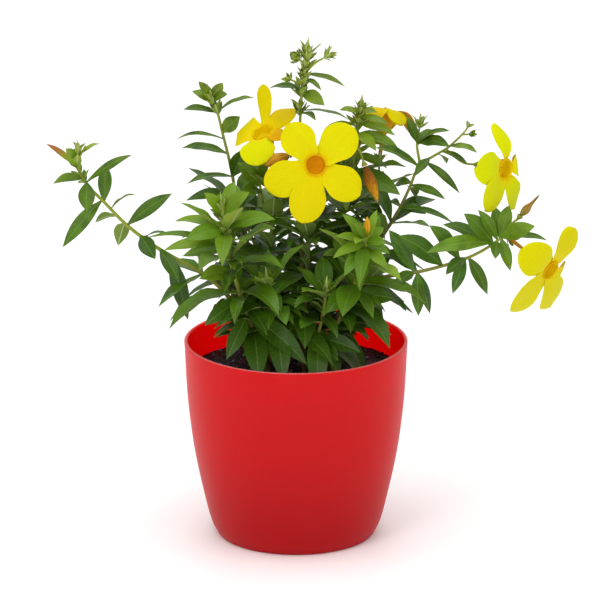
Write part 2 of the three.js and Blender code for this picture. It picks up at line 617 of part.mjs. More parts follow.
// The axis of a stem, from its foot in the soil to its end
function stemAxis({ foot: [x, y], path, thick }) {
  const heights = [SOIL_TOP - STEM_DEPTH, SOIL_TOP - STEM_DEPTH / 2, SOIL_TOP + STEM_RISE];
  const rooted = heights.map((z) => [x, y, z]);
  const curve = new THREE.CatmullRomCurve3([...rooted, ...path].map(vector));
  return { curve, runs: runsOf(curve), thick, step: STEM_STEP, before: rooted.length };
}

// The axis of a side shoot, rooted in the wood of its stem
function shootAxis({ path: [start, ...rest], thick }, parent) {
  const points = [seatOn(parent.runs, vector(start)), ...rest.map(vector)];
  const curve = new THREE.CatmullRomCurve3(points);
  return { curve, runs: runsOf(curve, SHOOT_STEP), thick, step: SHOOT_STEP, before: 0 };
}

// A place in a path's own numbers as a share of its curve
function placeOn(place, path, { before }) {
  return Math.min(LAST_SEAT, (place + before) / (path.length + before - 1));
}

// The leaves with tips of their own on one axis, and the tuft at its end
function growTips(owner, growth, axis, pieces) {
  for (const row of growth.leaves ?? []) {
    const place = placeOn(row[0], growth.path, axis);
    const outline = row[4] > NARROW_TO_WIDTH ? LEAF_OUTLINE : SMALL_OUTLINE;
    growLeaf(owner, TIP_TRIES, (attempt) => tipLeaf(axis, place, row, attempt), outline, pieces);
  }
  if (!growth.tuft) return;
  const [at, length, count] = growth.tuft;
  for (let i = 0; i < count; i += 1) {
    const draws = {
      place: placeOn(at - TUFT.back, growth.path, axis),
      azimuth: i * 360 / count + spread(TUFT.turnJitter),
      rise: TUFT.rise + spread(TUFT.riseJitter),
      length: length * (1 + spread(TUFT.lengthJitter)),
      sag: TUFT.sag,
      roll: TUFT.roll,
    };
    growLeaf(owner, TRIES, (attempt) => whorlLeaf(axis, draws, attempt), SMALL_OUTLINE, pieces);
  }
}

// Whorls at even distances along a stem, older and lower ones flatter and longer
function growWhorls(owner, growth, axis, pieces) {
  const [first, last, distance, count, length] = growth.whorls;
  const start = placeOn(first, growth.path, axis);
  const end = placeOn(last, growth.path, axis);
  const span = axis.curve.getLength() * (end - start);
  const rows = Math.max(1, Math.round(span / distance));
  for (let row = 0; row <= rows; row += 1) {
    const age = 1 - row / rows;
    const turn = row * WHORL_TURN + spread(AZIMUTH_JITTER);
    for (let i = 0; i < count; i += 1) {
      const draws = {
        place: start + (end - start) * row / rows,
        azimuth: turn + i * 360 / count + spread(AZIMUTH_JITTER / 2),
        rise: RISE.young + (RISE.old - RISE.young) * age + spread(RISE.jitter),
        length: length * (YOUNG_LENGTH + (1 - YOUNG_LENGTH) * age + spread(LENGTH_JITTER)),
        sag: SAG.young + (SAG.old - SAG.young) * age + spread(SAG.jitter),
        roll: spread(ROLL_JITTER),
      };
      const outline = draws.length > SHORT_TO_LENGTH ? LEAF_OUTLINE : SMALL_OUTLINE;
      growLeaf(owner, TRIES, (attempt) => whorlLeaf(axis, draws, attempt), outline, pieces);
    }
  }
}

// A round green bud at the end of a shoot
function knobSolid([x, y, z], radius) {
  return solidOf(new THREE.IcosahedronGeometry(radius, 0).scale(0.9, 0.9, 1.1).translate(x, y, z));
}

// Turns +Z to a direction and sets a geometry at a point
function placed(geometry, direction, point) {
  const turn = new THREE.Quaternion().setFromUnitVectors(UP, direction);
  return geometry.applyQuaternion(turn).translate(point.x, point.y, point.z);
}

// The stalk, cup and sepals that carry a flower or a bud at a foot
function calyxPieces(from, foot, direction, sepals) {
  const { radius, length, sides, sink } = CALYX;
  const base = foot.clone().addScaledVector(direction, -length - SEAT_GAP);
  const straight = Math.min(KNEE.most, base.distanceTo(from) * KNEE.share);
  const knee = base.clone().addScaledVector(direction, -straight);
  const end = base.clone().addScaledVector(direction, sink);
  const line = new THREE.CatmullRomCurve3([from, knee, end]);
  const stalk = rodSolid(line, [STALK_RADIUS, STALK_RADIUS], SHOOT_STEP);
  const outline = [[0, 0], [STALK_RADIUS, 0], [radius, length], [0, length]];
  const cup = solidOf(placed(turned(outline, sides), direction, base));
  const pieces = [stalk, cup];
  for (let i = 0; i < sepals; i += 1) {
    const out = new THREE.Vector3(1, 0, 0).cross(direction).normalize()
      .applyAxisAngle(direction, radians(i * 360 / sepals));
    const root = base.clone().addScaledVector(direction, length - sink)
      .addScaledVector(out, radius - SEPAL.sink);
    const way = direction.clone().addScaledVector(out, SEPAL.lean).normalize();
    const tip = root.clone().addScaledVector(way, SEPAL.length);
    const bend = root.clone().lerp(tip, 0.5).addScaledVector(out, SEPAL.bow);
    const leaf = { root, bend, tip, facing: out.clone().negate(), width: SEPAL.width };
    pieces.push(bladeSolid(leaf, SMALL_OUTLINE, BLADE_THICKNESS));
  }
  return pieces;
}

// A flower: a funnel open at its mouth, with five broad petals round it
function flowerSolid({ mouth, faces, tube, petals }) {
  const direction = vector(faces).normalize();
  const centre = vector(mouth);
  const inside = FUNNEL.slice(1).map(([r, z]) => [r - FUNNEL_WALL, z]).reverse();
  const outline = [[0, -tube], [TUBE_RADIUS, -tube], ...FUNNEL, ...inside, [0, FUNNEL_BLIND]];
  let flower = solidOf(placed(turned(outline, FUNNEL_SIDES), direction, centre));
  const right = new THREE.Vector3().crossVectors(UP, direction).normalize();
  const top = new THREE.Vector3().crossVectors(direction, right).normalize();
  for (const [angle, reach, tilt, width] of petals) {
    const out = right.clone().multiplyScalar(Math.cos(radians(angle)))
      .addScaledVector(top, Math.sin(radians(angle)));
    const root = centre.clone().addScaledVector(out, FUNNEL.at(-1)[0] - FUNNEL_WALL)
      .addScaledVector(direction, -PETAL_SINK);
    const tip = centre.clone().addScaledVector(out, reach * Math.cos(radians(tilt)))
      .addScaledVector(direction, -reach * Math.sin(radians(tilt)));
    const bend = centre.clone().addScaledVector(out, reach * 0.5).addScaledVector(direction, PETAL_ARCH);
    const petal = { root, bend, tip, facing: direction, width };
    flower = flower.add(bladeSolid(petal, PETAL_OUTLINE, PETAL_THICKNESS));
  }
  return flower;
}

// A closed bud: a pointed spindle
function budSolid({ foot, tip, radius, form }) {
  const start = vector(foot);
  const axis = vector(tip).sub(start);
  const length = axis.length();
  const outline = [[0, 0], ...BUD_FORMS[form].map(([r, z]) => [r * radius, z * length]), [0, length]];
  return solidOf(placed(turned(outline, BUD_SIDES), axis.normalize(), start));
}

// What carries the flowers and buds of one stem
function carriers(name, axes) {
  const runs = axes.map((axis) => axis.runs);
  const carried = [
    ...FLOWERS.filter(({ stem }) => stem === name).map(({ mouth, faces, tube, from }) => {
      const direction = vector(faces).normalize();
      return { from, direction, foot: vector(mouth).addScaledVector(direction, -tube), sepals: 5 };
    }),
    ...BUDS.filter(({ stem }) => stem === name).map(({ foot, tip, from }) => (
      { from, direction: vector(tip).sub(vector(foot)).normalize(), foot: vector(foot), sepals: 0 })),
  ];
  return carried.flatMap(({ from, foot, direction, sepals }) => {
    const seats = runs.map((run) => seatOn(run, vector(from)));
    seats.sort((a, b) => a.distanceTo(vector(from)) - b.distanceTo(vector(from)));
    return calyxPieces(seats[0], foot, direction, sepals);
  });
}

const group = new THREE.Group();
const pot = potSolid();
const soil = soilSolid();
claim('pot', pot);
claim('soil', soil);
group.add(meshOf('pot', pot, RED), meshOf('soil', soil, EARTH));

for (const flower of FLOWERS) {
  const solid = flowerSolid(flower);
  claim(flower.name, solid);
  group.add(meshOf(flower.name, solid, YELLOW));
}
for (const bud of BUDS) {
  const solid = budSolid(bud);
  claim(bud.name, solid);
  group.add(meshOf(bud.name, solid, bud.look));
}

// The bare wood of every stem comes first, so that no leaf grows through it
const grown = STEMS.map((stem) => {
  const axis = stemAxis(stem);
  const shoots = (stem.shoots ?? []).map((shoot) => ({ growth: shoot, axis: shootAxis(shoot, axis) }));
  const axes = [axis, ...shoots.map((shoot) => shoot.axis)];
  const rods = axes.map(({ curve, thick, step }) => rodSolid(curve, thick, step));
  const knobs = shoots.filter(({ growth }) => growth.knob)
    .map(({ growth }) => knobSolid(growth.path.at(-1), growth.knob));
  const pieces = [...rods, ...knobs, ...carriers(stem.name, axes)];
  pieces.forEach((piece) => claim(stem.name, piece));
  return { stem, axis, shoots, pieces };
});
for (const { stem, axis, shoots, pieces } of grown) {
  growTips(stem.name, stem, axis, pieces);
  for (const shoot of shoots) growTips(stem.name, shoot.growth, shoot.axis, pieces);
}
for (const { stem, axis, pieces } of grown) growWhorls(stem.name, stem, axis, pieces);
for (const { stem, pieces } of grown) {
  group.add(meshOf(stem.name, wasm.Manifold.union(pieces), stem.look));
}

export default group;
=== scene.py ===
"""A potted allamanda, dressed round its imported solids.

The leaves, stems, flowers and buds are grown again here by the rules that the
solids follow, with finer pieces. Lengths are in millimetres until a piece is
made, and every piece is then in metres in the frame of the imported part.
"""

import math

import bmesh
import bpy
import numpy as np
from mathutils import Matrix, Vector, bvhtree, kdtree, noise


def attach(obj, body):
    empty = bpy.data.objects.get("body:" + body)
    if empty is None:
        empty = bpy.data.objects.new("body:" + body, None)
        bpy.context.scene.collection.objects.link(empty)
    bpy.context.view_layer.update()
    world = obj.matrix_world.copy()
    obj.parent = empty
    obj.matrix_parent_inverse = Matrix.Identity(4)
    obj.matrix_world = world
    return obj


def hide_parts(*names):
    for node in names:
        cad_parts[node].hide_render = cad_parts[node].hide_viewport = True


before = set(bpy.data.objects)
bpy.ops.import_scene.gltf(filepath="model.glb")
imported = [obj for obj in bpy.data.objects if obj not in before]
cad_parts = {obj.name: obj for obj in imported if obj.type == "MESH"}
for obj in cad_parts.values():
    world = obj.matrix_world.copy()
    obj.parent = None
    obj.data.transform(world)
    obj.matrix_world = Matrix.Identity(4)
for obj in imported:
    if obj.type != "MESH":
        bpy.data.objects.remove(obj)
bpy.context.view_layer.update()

MM = 0.001

# The photograph's view, in metres and degrees
PITCH = math.radians(17.2)
DISTANCE = 4.0
TARGET = Vector((0.0029, 0, 0.1735))
SENSOR_MM = 36
LENS_MM = 336

# The pot: outer outline from the foot to the rim, as radius and height
POT_HEIGHT = 144
POT_WALL = 2.5
POT_FLOOR = 3
POT_OUTLINE = [(54, 0), (57, 1.5), (60.8, 9), (67.2, 34), (73.2, 64), (77.6, 100), (80, POT_HEIGHT)]
GROOVE = dict(inner=20, outer=46, depth=1.2)
DRAIN = dict(count=5, ring=33, radius=4)

# The soil
SOIL_TOP = 120
SOIL_CROWN = 1
SOIL_SWELL = 1.6
SEAT_GAP = 0.3
STEM_DEPTH = 24
STEM_RISE = 4

# The growth, as in the solids
STEM_STEP = 18
SHOOT_STEP = 7
BLADE_THICKNESS = 0.8
BLADE_FOLD = 0.32
FOLDED_FROM_WIDTH = 13
NARROW_TO_WIDTH = 8
SHORT_TO_LENGTH = 37
LAST_SEAT = 0.99
LEAF_OUTLINE = [(0.34, 0.88), (0.68, 0.84)]
SMALL_OUTLINE = [(0.5, 1)]
WHORL_TURN = 47
AZIMUTH_JITTER = 26
RISE = dict(young=52, old=88, jitter=12)
LEAF_WIDTH_SHARE = 0.34
SAG = dict(young=0.06, old=0.3, jitter=0.1)
YOUNG_LENGTH = 0.78
LENGTH_JITTER = 0.12
ROLL_JITTER = 0.45
SEED = 20611
TIP_ARCH = dict(face=0.09, up=0.07)
WHORL_ARCH = dict(up=0.35, reach=0.96, lean=0.5)
TUFT = dict(back=0.04, turn_jitter=20, rise=34, rise_jitter=14, length_jitter=0.2, sag=0.02, roll=-0.5)
TUBE_RADIUS = 1.5
FUNNEL = [(1.8, -19), (5, -11), (7.6, 0)]
FUNNEL_WALL = 1
PETAL_SINK = 1
PETAL_ARCH = 3
CALYX = dict(radius=2.3, length=3.5, sink=1.2)
SEPAL = dict(length=7, width=3, lean=0.62, bow=0.8, sink=1)
KNEE = dict(most=9, share=0.4)
STALK_RADIUS = 0.9

# Stems. foot is where one leaves the soil, path its points from there on, and
# thick its radius at the soil and at its end. A leaf is its place along the
# path, its tip, its width and how far its upper face turns from the sky to the
# front in degrees. whorls are the first and last place, the distance between
# whorls, the leaves in one and their length.
STEMS = [
    dict(
        name="stem_left_arch", foot=[-26, 0], thick=[1.9, 1],
        path=[[-32, 1, 150], [-52, 2, 180], [-70, 2, 195], [-82, 1, 202], [-101, 0, 214],
            [-120, -3, 230], [-136, -6, 248], [-149, -8, 263], [-154, -10, 276], [-154, -10, 288]],
        whorls=[0, 1.8, 19, 3, 57],
        leaves=[[7.8, -176, -16, 294, 4.5, 60], [7.2, -173, 2, 260, 8, 40], [8.3, -163, -4, 287, 6, 70],
            [8.6, -139, -4, 291, 5, 10], [7, -116, -20, 287, 6, 60], [6, -135, 8, 272, 10, 80],
            [7, -148, -16, 244, 12, 85], [6.1, -166, -12, 216, 10, 70], [5.4, -143, 6, 230, 8, -50],
            [5.1, -127, 12, 211, 11, -70], [5.7, -114, -22, 259, 6, 10], [5, -88, -12, 256, 10, 70],
            [4.4, -91, -20, 229, 6, 10], [4.5, -100, -16, 209, 12, 80], [3.8, -83, -14, 191, 10, 60],
            [3.4, -77, -6, 160, 12, 80]],
        tuft=[9, 8, 3],
    ),
    dict(
        name="stem_left_rear", foot=[-18, 18], thick=[1.9, 0.9],
        path=[[-24, 20, 150], [-33, 25, 185], [-39, 28, 220], [-43, 30, 243], [-47, 32, 265],
            [-53, 32, 291], [-56, 31, 304], [-60, 30, 313]],
        whorls=[0, 2.8, 19, 3, 56],
        leaves=[[6, -80, 26, 308, 7, 30], [4.7, -85, 22, 288, 6, 10], [4.3, -82, 40, 276, 8, 30],
            [3.6, -78, 20, 255, 7, 20], [3, -79, 28, 240, 9, 40], [4.9, -40, 26, 302, 11, 70],
            [3.6, -37, 22, 279, 12, 80], [6, -30, 22, 318, 7, 15], [7, -69, 26, 328, 7, 50],
            [7, -74, 34, 319, 7, 40], [7, -52, 34, 325, 8, 50], [7, -49, 22, 320, 8, 40]],
        tuft=[7, 13, 4],
    ),
    dict(
        name="stem_left_near", foot=[-20, -16], thick=[1.9, 1.1],
        path=[[-30, -24, 158], [-40, -34, 190], [-47, -40, 218], [-50, -42, 238], [-52, -42, 254]],
        whorls=[0, 2.9, 20, 3, 57],
        leaves=[[3, -77, -58, 236, 13, 50], [3.1, -86, -30, 242, 9, 30], [2.4, -93, -52, 227, 10, 40],
            [2.3, -105, -34, 232, 7, 20], [2.3, -73, -50, 229, 9, 30],
            [2.2, -81, -24, 214, 10, 50], [1.5, -67, -66, 210, 13, 55], [0.8, -64, -58, 173, 13, 70],
            [0.4, -49, -50, 145, 12, 80], [0.45, 8, -58, 144, 16, 60], [3.1, -15, -60, 252, 13, 40],
            [3.7, -64, -48, 267, 9, 50], [3.7, -33, -50, 268, 11, 50], [3.8, -43, -28, 270, 9, 50]],
        tuft=[4, 12, 4],
    ),
    dict(
        name="stem_tall", foot=[3, 8], thick=[2, 0.8],
        path=[[3, 6, 160], [4, 8, 205], [4, 8, 246], [3, 6, 285], [3, 6, 305], [4, 5, 322],
            [6, 4, 339], [8, 4, 352]],
        whorls=[0, 1.7, 19, 4, 57],
        leaves=[[6, 35, -8, 334, 5, 30], [5.2, 20, -12, 321, 10, 60], [5.3, -19, 14, 327, 7, 20],
            [4.4, 39, -2, 308, 5, 5], [5.8, 18, -8, 331, 5, 20], [4.3, 14, -14, 311, 6, 20],
            [2.3, -14, 26, 262, 9, 30], [2.4, 24, 22, 264, 9, 20]],
        shoots=[
            dict(path=[[6, 4, 340], [14, 3, 348], [21, 3, 352]], thick=[0.9, 0.7], tuft=[2, 10, 4]),
            dict(path=[[7, 4, 345], [3, 2, 350], [0, -1, 353]], thick=[0.8, 0.7], knob=4),
            dict(path=[[5, 4, 332], [-1, 0, 335], [-5, -3, 338]], thick=[0.8, 0.6], knob=2.6),
        ],
        tuft=[7, 14, 4],
    ),
    dict(
        name="stem_front", foot=[6, -11], thick=[1.9, 1.2],
        path=[[6, -11, 155], [8, -10, 195], [9, -8, 232], [10, -5, 252]],
        whorls=[0.3, 2.4, 18, 4, 56],
    ),
    dict(
        name="stem_middle", foot=[-9, 4], thick=[1.9, 1.1],
        path=[[-12, 6, 160], [-16, 9, 200], [-17, 12, 232], [-10, 17, 258]],
        whorls=[0.3, 2.5, 20, 4, 56],
        shoots=[
            dict(path=[[-16, 11, 222], [-24, 8, 246], [-26, 6, 262]], thick=[1.1, 0.9],
                leaves=[[1.6, -41, -2, 276, 11, 60], [1.8, -19, -22, 286, 8, 60],
                    [1.4, -38, -14, 256, 11, 50]],
                tuft=[2, 11, 4]),
        ],
    ),
    dict(
        name="stem_right_near", foot=[17, -18], thick=[1.9, 1.1],
        path=[[24, -22, 150], [36, -30, 180], [43, -38, 202], [48, -45, 222], [50, -47, 232]],
        whorls=[0, 2.6, 20, 3, 56],
        leaves=[[3.6, 26, -62, 224, 8, 40], [3.2, 34, -74, 215, 10, 50], [3.8, 63, -58, 233, 8, 45],
            [3.9, 33, -50, 252, 7, 50], [2.9, 46, -70, 208, 10, 60], [3.5, 62, -34, 238, 8, 40],
            [3.8, 57, -38, 252, 6, 50], [3.3, 64, -66, 217, 9, 50], [3.9, 41, -58, 248, 6, 50],
            [3.7, 28, -56, 238, 7, 40], [3.6, 66, -52, 224, 8, 40],
            [1.5, 22, -62, 184, 15, 60], [1.2, 70, -40, 187, 15, 50]],
    ),
    dict(
        name="stem_right_rear", foot=[15, 14], thick=[1.9, 0.9],
        path=[[19, 15, 155], [26, 19, 190], [33, 22, 225], [40, 24, 263], [43, 22, 293], [46, 20, 308]],
        whorls=[0, 2.9, 19, 3, 56],
        leaves=[[5, 31, 20, 309, 6, 30], [5, 58, 28, 305, 7, 30], [3.9, 73, 8, 284, 9, 40],
            [4.2, 20, 14, 297, 6, 20], [3, 74, 0, 252, 14, 60], [3.9, 57, 2, 284, 9, 40],
            [3.8, 22, 34, 282, 9, 30], [3.3, 66, 34, 262, 10, 30], [4.7, 66, 10, 301, 6, 40],
            [4.3, 71, 14, 292, 7, 40]],
        tuft=[5, 13, 4],
    ),
    dict(
        name="stem_right_high", foot=[25, 4], thick=[1.9, 0.8],
        path=[[28, 7, 150], [39, 12, 180], [57, 16, 208], [74, 16, 237], [81, 14, 253], [88, 12, 270],
            [100, 9, 279], [108, 6, 285], [118, 4, 295]],
        whorls=[0, 2.6, 20, 3, 56],
        leaves=[[7, 128, -12, 287, 7, 25], [5.3, 117, 6, 251, 6, 50], [4.1, 106, -4, 250, 6.5, 50],
            [3, 112, -8, 234, 5.5, 30], [3, 93, 10, 235, 8, 40], [4.2, 70, 24, 252, 8, 40],
            [4.9, 57, 8, 289, 9, 30], [6, 108, 26, 268, 8, 20], [4, 86, 36, 240, 9, 20],
            [6.4, 122, -6, 276, 5, 30], [5.6, 84, -8, 268, 7, 50]],
        shoots=[
            dict(path=[[88, 12, 269], [86, 14, 286], [88, 14, 298]], thick=[1.1, 0.8],
                leaves=[[1, 108, -8, 302, 7, 30], [1, 108, -14, 292, 10, 50], [1, 79, 10, 306, 7, 60],
                    [0.9, 100, 34, 290, 9, 20]],
                tuft=[2, 11, 4]),
            dict(path=[[116, 4, 293], [121, 4, 299], [122, 4, 302]], thick=[0.7, 0.6], knob=2.4),
            dict(path=[[118, 4, 295], [122, 1, 296], [124, -2, 297]], thick=[0.7, 0.6], knob=2),
        ],
    ),
    dict(
        name="stem_right_low", foot=[21, -7], thick=[1.9, 1],
        path=[[26, -10, 155], [40, -14, 184], [58, -18, 195], [84, -20, 200], [104, -20, 205],
            [124, -20, 212], [138, -20, 220], [146, -19, 226]],
        whorls=[0, 1.6, 17, 4, 56],
        leaves=[[6.6, 129, -30, 249, 8, 60], [6.9, 151, -10, 247, 10, 60], [6.8, 141, -6, 245, 9, 50],
            [6.2, 119, -32, 247, 12, 60], [6, 104, -12, 234, 10, 40], [4.6, 95, -34, 239, 12, 50],
            [3, 66, -10, 229, 11, 60], [4, 73, -36, 232, 15, 60], [3.1, 65, -2, 212, 11, 50],
            [6.3, 92, -42, 222, 12, 50], [7, 168, -36, 239, 12, 70], [7, 178, -28, 227, 6, 30],
            [6.5, 141, -32, 214, 8, 60], [7, 152, -26, 203, 8, 70], [4.8, 106, -34, 203, 9, 50],
            [4.8, 111, -32, 188, 9, 75], [4.9, 137, -10, 180, 9, 60], [3, 70, -34, 196, 9, 50],
            [3.1, 87, -28, 170, 10, 80], [3.1, 96, -8, 165, 8, 60]],
        shoots=[
            dict(path=[[146, -19, 226], [151, -22, 235], [157, -22, 241]], thick=[0.9, 0.7]),
        ],
    ),
    dict(
        name="stem_back_left", foot=[-8, 26], thick=[1.8, 1],
        path=[[-12, 32, 155], [-24, 46, 186], [-34, 58, 208], [-40, 64, 222]],
        whorls=[0, 2.9, 19, 3, 54],
        tuft=[3, 14, 3],
    ),
    dict(
        name="stem_back_middle", foot=[4, 23], thick=[1.8, 1],
        path=[[5, 34, 150], [7, 52, 168], [8, 66, 182]],
        whorls=[0, 1.9, 19, 3, 52],
        tuft=[2, 14, 3],
    ),
    dict(
        name="stem_back_right", foot=[15, 27], thick=[1.8, 1],
        path=[[22, 36, 155], [35, 48, 188], [47, 58, 216], [52, 62, 234]],
        whorls=[0, 2.9, 19, 3, 54],
        tuft=[3, 14, 3],
    ),
    dict(
        name="stem_front_left", foot=[-6, -20], thick=[1.8, 1],
        path=[[-10, -25, 148], [-17, -34, 174], [-20, -39, 196]],
        whorls=[0.6, 1.9, 16, 4, 50],
        leaves=[[0.1, -14, -52, 140, 13, 70], [0.2, -38, -44, 146, 12, 60]],
        tuft=[2, 15, 4],
    ),
    dict(
        name="stem_front_right", foot=[10, -25], thick=[1.8, 1],
        path=[[13, -30, 146], [18, -38, 170], [21, -42, 190]],
        whorls=[0.6, 1.9, 19, 4, 50],
        leaves=[[0.1, 10, -58, 138, 13, 70], [0.2, 30, -56, 142, 13, 70], [0.4, 46, -50, 146, 12, 60]],
        tuft=[2, 15, 4],
    ),
]

# Flowers: the stem that carries one and where its stalk leaves that, the middle
# of its mouth, the way it looks and the length of its tube. A petal is its
# angle, reach, back tilt and width.
FLOWERS = [
    dict(
        name="flower_front", stem="stem_front", start=[10, -5, 250],
        mouth=[14, -40, 285], faces=[0.06, -0.95, 0.3], tube=34,
        petals=[[124, 35, 3, 25], [44, 38, 3, 27], [-35, 38, 3, 25], [-104, 42, 3, 26], [-157, 39, 3, 26]],
    ),
    dict(
        name="flower_left", stem="stem_middle", start=[-10, 17, 257],
        mouth=[-24, 6, 296.5], faces=[-0.35, -0.35, 0.87], tube=34,
        petals=[[118, 36, -30, 12], [66, 29, -5, 24], [2, 24, 0, 13], [298, 29, 15, 26], [197, 22, 6, 29]],
    ),
    dict(
        name="flower_rear", stem="stem_right_rear", start=[39, 24, 256],
        mouth=[64, 50, 299], faces=[0.12, 0.35, 0.92], tube=34,
        petals=[[74, 28, 30, 23], [144, 22, 26, 20], [216, 29, 26, 22], [288, 30, 24, 22], [2, 30, 24, 22]],
    ),
    dict(
        name="flower_high", stem="stem_right_high", start=[106, 7, 284],
        mouth=[149, -5, 272], faces=[0.78, -0.62, 0.05], tube=25,
        petals=[[86, 34, 20, 13], [166, 34, 3, 24], [222, 36, 0, 24], [291, 34, 4, 19], [-2, 25, 24, 16]],
    ),
    dict(
        name="flower_low", stem="stem_right_low", start=[145, -19, 225],
        mouth=[181, -18, 201], faces=[0.68, -0.62, -0.38], tube=42,
        petals=[[69, 35, 5, 24], [146, 40, 12, 27], [220, 42, 0, 30], [297, 43, 2, 26], [336, 30, 16, 17]],
    ),
]

# Coloured buds: the stem that carries one, where its stalk leaves that, the
# bud's own foot and tip and its radius
BUDS = [
    dict(name="bud_amber_left", stem="stem_front", start=[9, -9, 236],
        foot=[-5, -24, 287.5], tip=[-22, -27, 281], radius=4.8, form="closed"),
    dict(name="bud_amber_right", stem="stem_right_near", start=[50, -47, 230],
        foot=[50, -47, 236], tip=[50, -49, 250], radius=2.5, form="closed"),
    dict(name="bud_wilted", stem="stem_right_rear", start=[40, 24, 262],
        foot=[49, -1, 273], tip=[58, -8, 249], radius=4.2, form="closed"),
    dict(name="bud_bronze", stem="stem_right_low", start=[155, -22, 239],
        foot=[159, -22, 243], tip=[172, -22, 258], radius=2.8, form="tailed"),
]

# What a leaf tries, in turn, when its place is taken: a turn round its stem,
# a change of its rise in degrees, and a share of its length
TRIES = [
    [0, 0, 1], [18, 0, 1], [-18, 0, 1], [0, -16, 1], [0, 16, 0.95], [34, -8, 0.95], [-34, -8, 0.95],
    [20, 18, 0.9], [-20, 18, 0.9], [48, 4, 0.85], [-48, 4, 0.85], [10, -30, 0.85], [-12, 30, 0.8],
    [30, 24, 0.75], [-30, -24, 0.75], [60, 0, 0.7], [-60, 0, 0.7], [0, 0, 0.6],
]
# The same for a leaf with a tip of its own: how far the tip moves away from the
# front and up, and a share of its length
TIP_TRIES = [
    [0, 0, 1], [7, 2, 1], [-7, -2, 1], [14, 4, 1], [-14, -4, 1], [21, 6, 1], [-21, -6, 1],
    [0, 6, 0.95], [0, -6, 0.95], [28, 8, 0.95], [-28, -8, 0.95], [12, 0, 0.8], [-12, 0, 0.8],
    [0, 0, 0.7],
]
# The outline of a bud as shares of its radius and length
BUD_FORMS = dict(
    closed=[(0.35, 0), (0.8, 0.2), (1, 0.45), (0.7, 0.72), (0.25, 0.94)],
    tailed=[(0.45, 0), (0.95, 0.16), (1, 0.32), (0.45, 0.58), (0.22, 0.92)],
)

# Vectors are numpy arrays of three, in millimetres
UP = np.array((0.0, 0.0, 1.0))
FRONT = np.array((0.0, -1.0, 0.0))
RIGHT = np.array((1.0, 0.0, 0.0))


def unit(vector):
    return vector / np.linalg.norm(vector)


def turned_about(vector, axis, degrees):
    """A vector turned about a unit axis."""
    cos, sin = math.cos(math.radians(degrees)), math.sin(math.radians(degrees))
    return vector * cos + np.cross(axis, vector) * sin + axis * (axis @ vector) * (1 - cos)


def smooth(low, high, value):
    """0 below low, 1 above high, and an even curve between."""
    share = np.clip((value - low) / (high - low), 0, 1)
    return share * share * (3 - 2 * share)


class Draws:
    """The repeatable random numbers that the solids were grown with."""

    def __init__(self, seed):
        self.state = seed

    def spread(self, size):
        self.state = (self.state * 1664525 + 1013904223) % 4294967296
        return (self.state / 4294967296 * 2 - 1) * size


class Curve:
    """A centripetal curve through points, read at a share from 0 to 1 of its knots."""

    DIVISIONS = 200
    DELTA = 1e-4

    def __init__(self, points):
        self.points = [np.array(point, float) for point in points]
        self.shares = np.linspace(0, 1, self.DIVISIONS + 1)
        places = np.array([self.at(share) for share in self.shares])
        steps = np.linalg.norm(np.diff(places, axis=0), axis=1)
        self.reach = np.concatenate([[0], np.cumsum(steps)])
        self.length = self.reach[-1]

    def at(self, share):
        knots = self.points
        last = len(knots) - 1
        i = min(int(last * share), last - 1)
        way = last * share - i
        b, c = knots[i], knots[i + 1]
        a = knots[i - 1] if i else 2 * knots[0] - knots[1]
        d = knots[i + 2] if i + 2 <= last else 2 * knots[last] - knots[last - 1]
        ab, bc, cd = (math.sqrt(np.linalg.norm(q - p)) for p, q in ((a, b), (b, c), (c, d)))
        start = ((b - a) / ab - (c - a) / (ab + bc) + (c - b) / bc) * bc
        end = ((c - b) / bc - (d - b) / (bc + cd) + (d - c) / cd) * bc
        square = (3 * (c - b) - 2 * start - end) * way ** 2
        cube = (2 * (b - c) + start + end) * way ** 3
        return b + start * way + square + cube

    def along(self, share):
        return unit(self.at(min(1, share + self.DELTA)) - self.at(max(0, share - self.DELTA)))

    def share_at(self, length):
        return np.interp(length, self.reach, self.shares)

    def spaced(self, count):
        lengths = np.linspace(0, self.length, count + 1)
        return [self.at(share) for share in self.share_at(lengths)]


def seat_on(runs, point):
    """The point of the nearest straight run to a point."""
    seat = runs[0]
    for start, end in zip(runs, runs[1:]):
        way = end - start
        share = np.clip((point - start) @ way / (way @ way), 0, 1)
        spot = start + way * share
        if np.linalg.norm(spot - point) < np.linalg.norm(seat - point):
            seat = spot
    return seat


class Axis:
    """The middle line of a stem or a shoot. before is how many knots come before its path."""

    def __init__(self, points, path, thick, step, before):
        self.curve = Curve(points)
        self.runs = self.curve.spaced(max(2, math.floor(self.curve.length / step + 0.5)))
        self.thick = thick
        self.before = before
        self.knots = len(path) + before - 1

    def place(self, knot):
        return min(LAST_SEAT, (knot + self.before) / self.knots)


def stem_axis(foot, path, thick):
    heights = (SOIL_TOP - STEM_DEPTH, SOIL_TOP - STEM_DEPTH / 2, SOIL_TOP + STEM_RISE)
    rooted = [(*foot, height) for height in heights]
    return Axis([*rooted, *path], path, thick, STEM_STEP, len(rooted))


def shoot_axis(path, thick, parent):
    start = seat_on(parent.runs, np.array(path[0], float))
    return Axis([start, *path[1:]], path, thick, SHOOT_STEP, 0)


def tip_leaf(axis, place, row, attempt):
    """A leaf that ends at a given tip, in one of its tries."""
    _, x, y, z, width, face = row
    back, rise, size = attempt
    root = seat_on(axis.runs, axis.curve.at(place))
    tip = root + (np.array((x, y + back, z + rise)) - root) * size
    facing = UP * math.cos(math.radians(face)) + FRONT * math.sin(math.radians(face))
    length = np.linalg.norm(tip - root)
    bend = (root + tip) / 2 + facing * length * TIP_ARCH["face"] + UP * length * TIP_ARCH["up"]
    return dict(root=root, bend=bend, tip=tip, facing=facing, width=width * size,
                folded=width >= FOLDED_FROM_WIDTH)


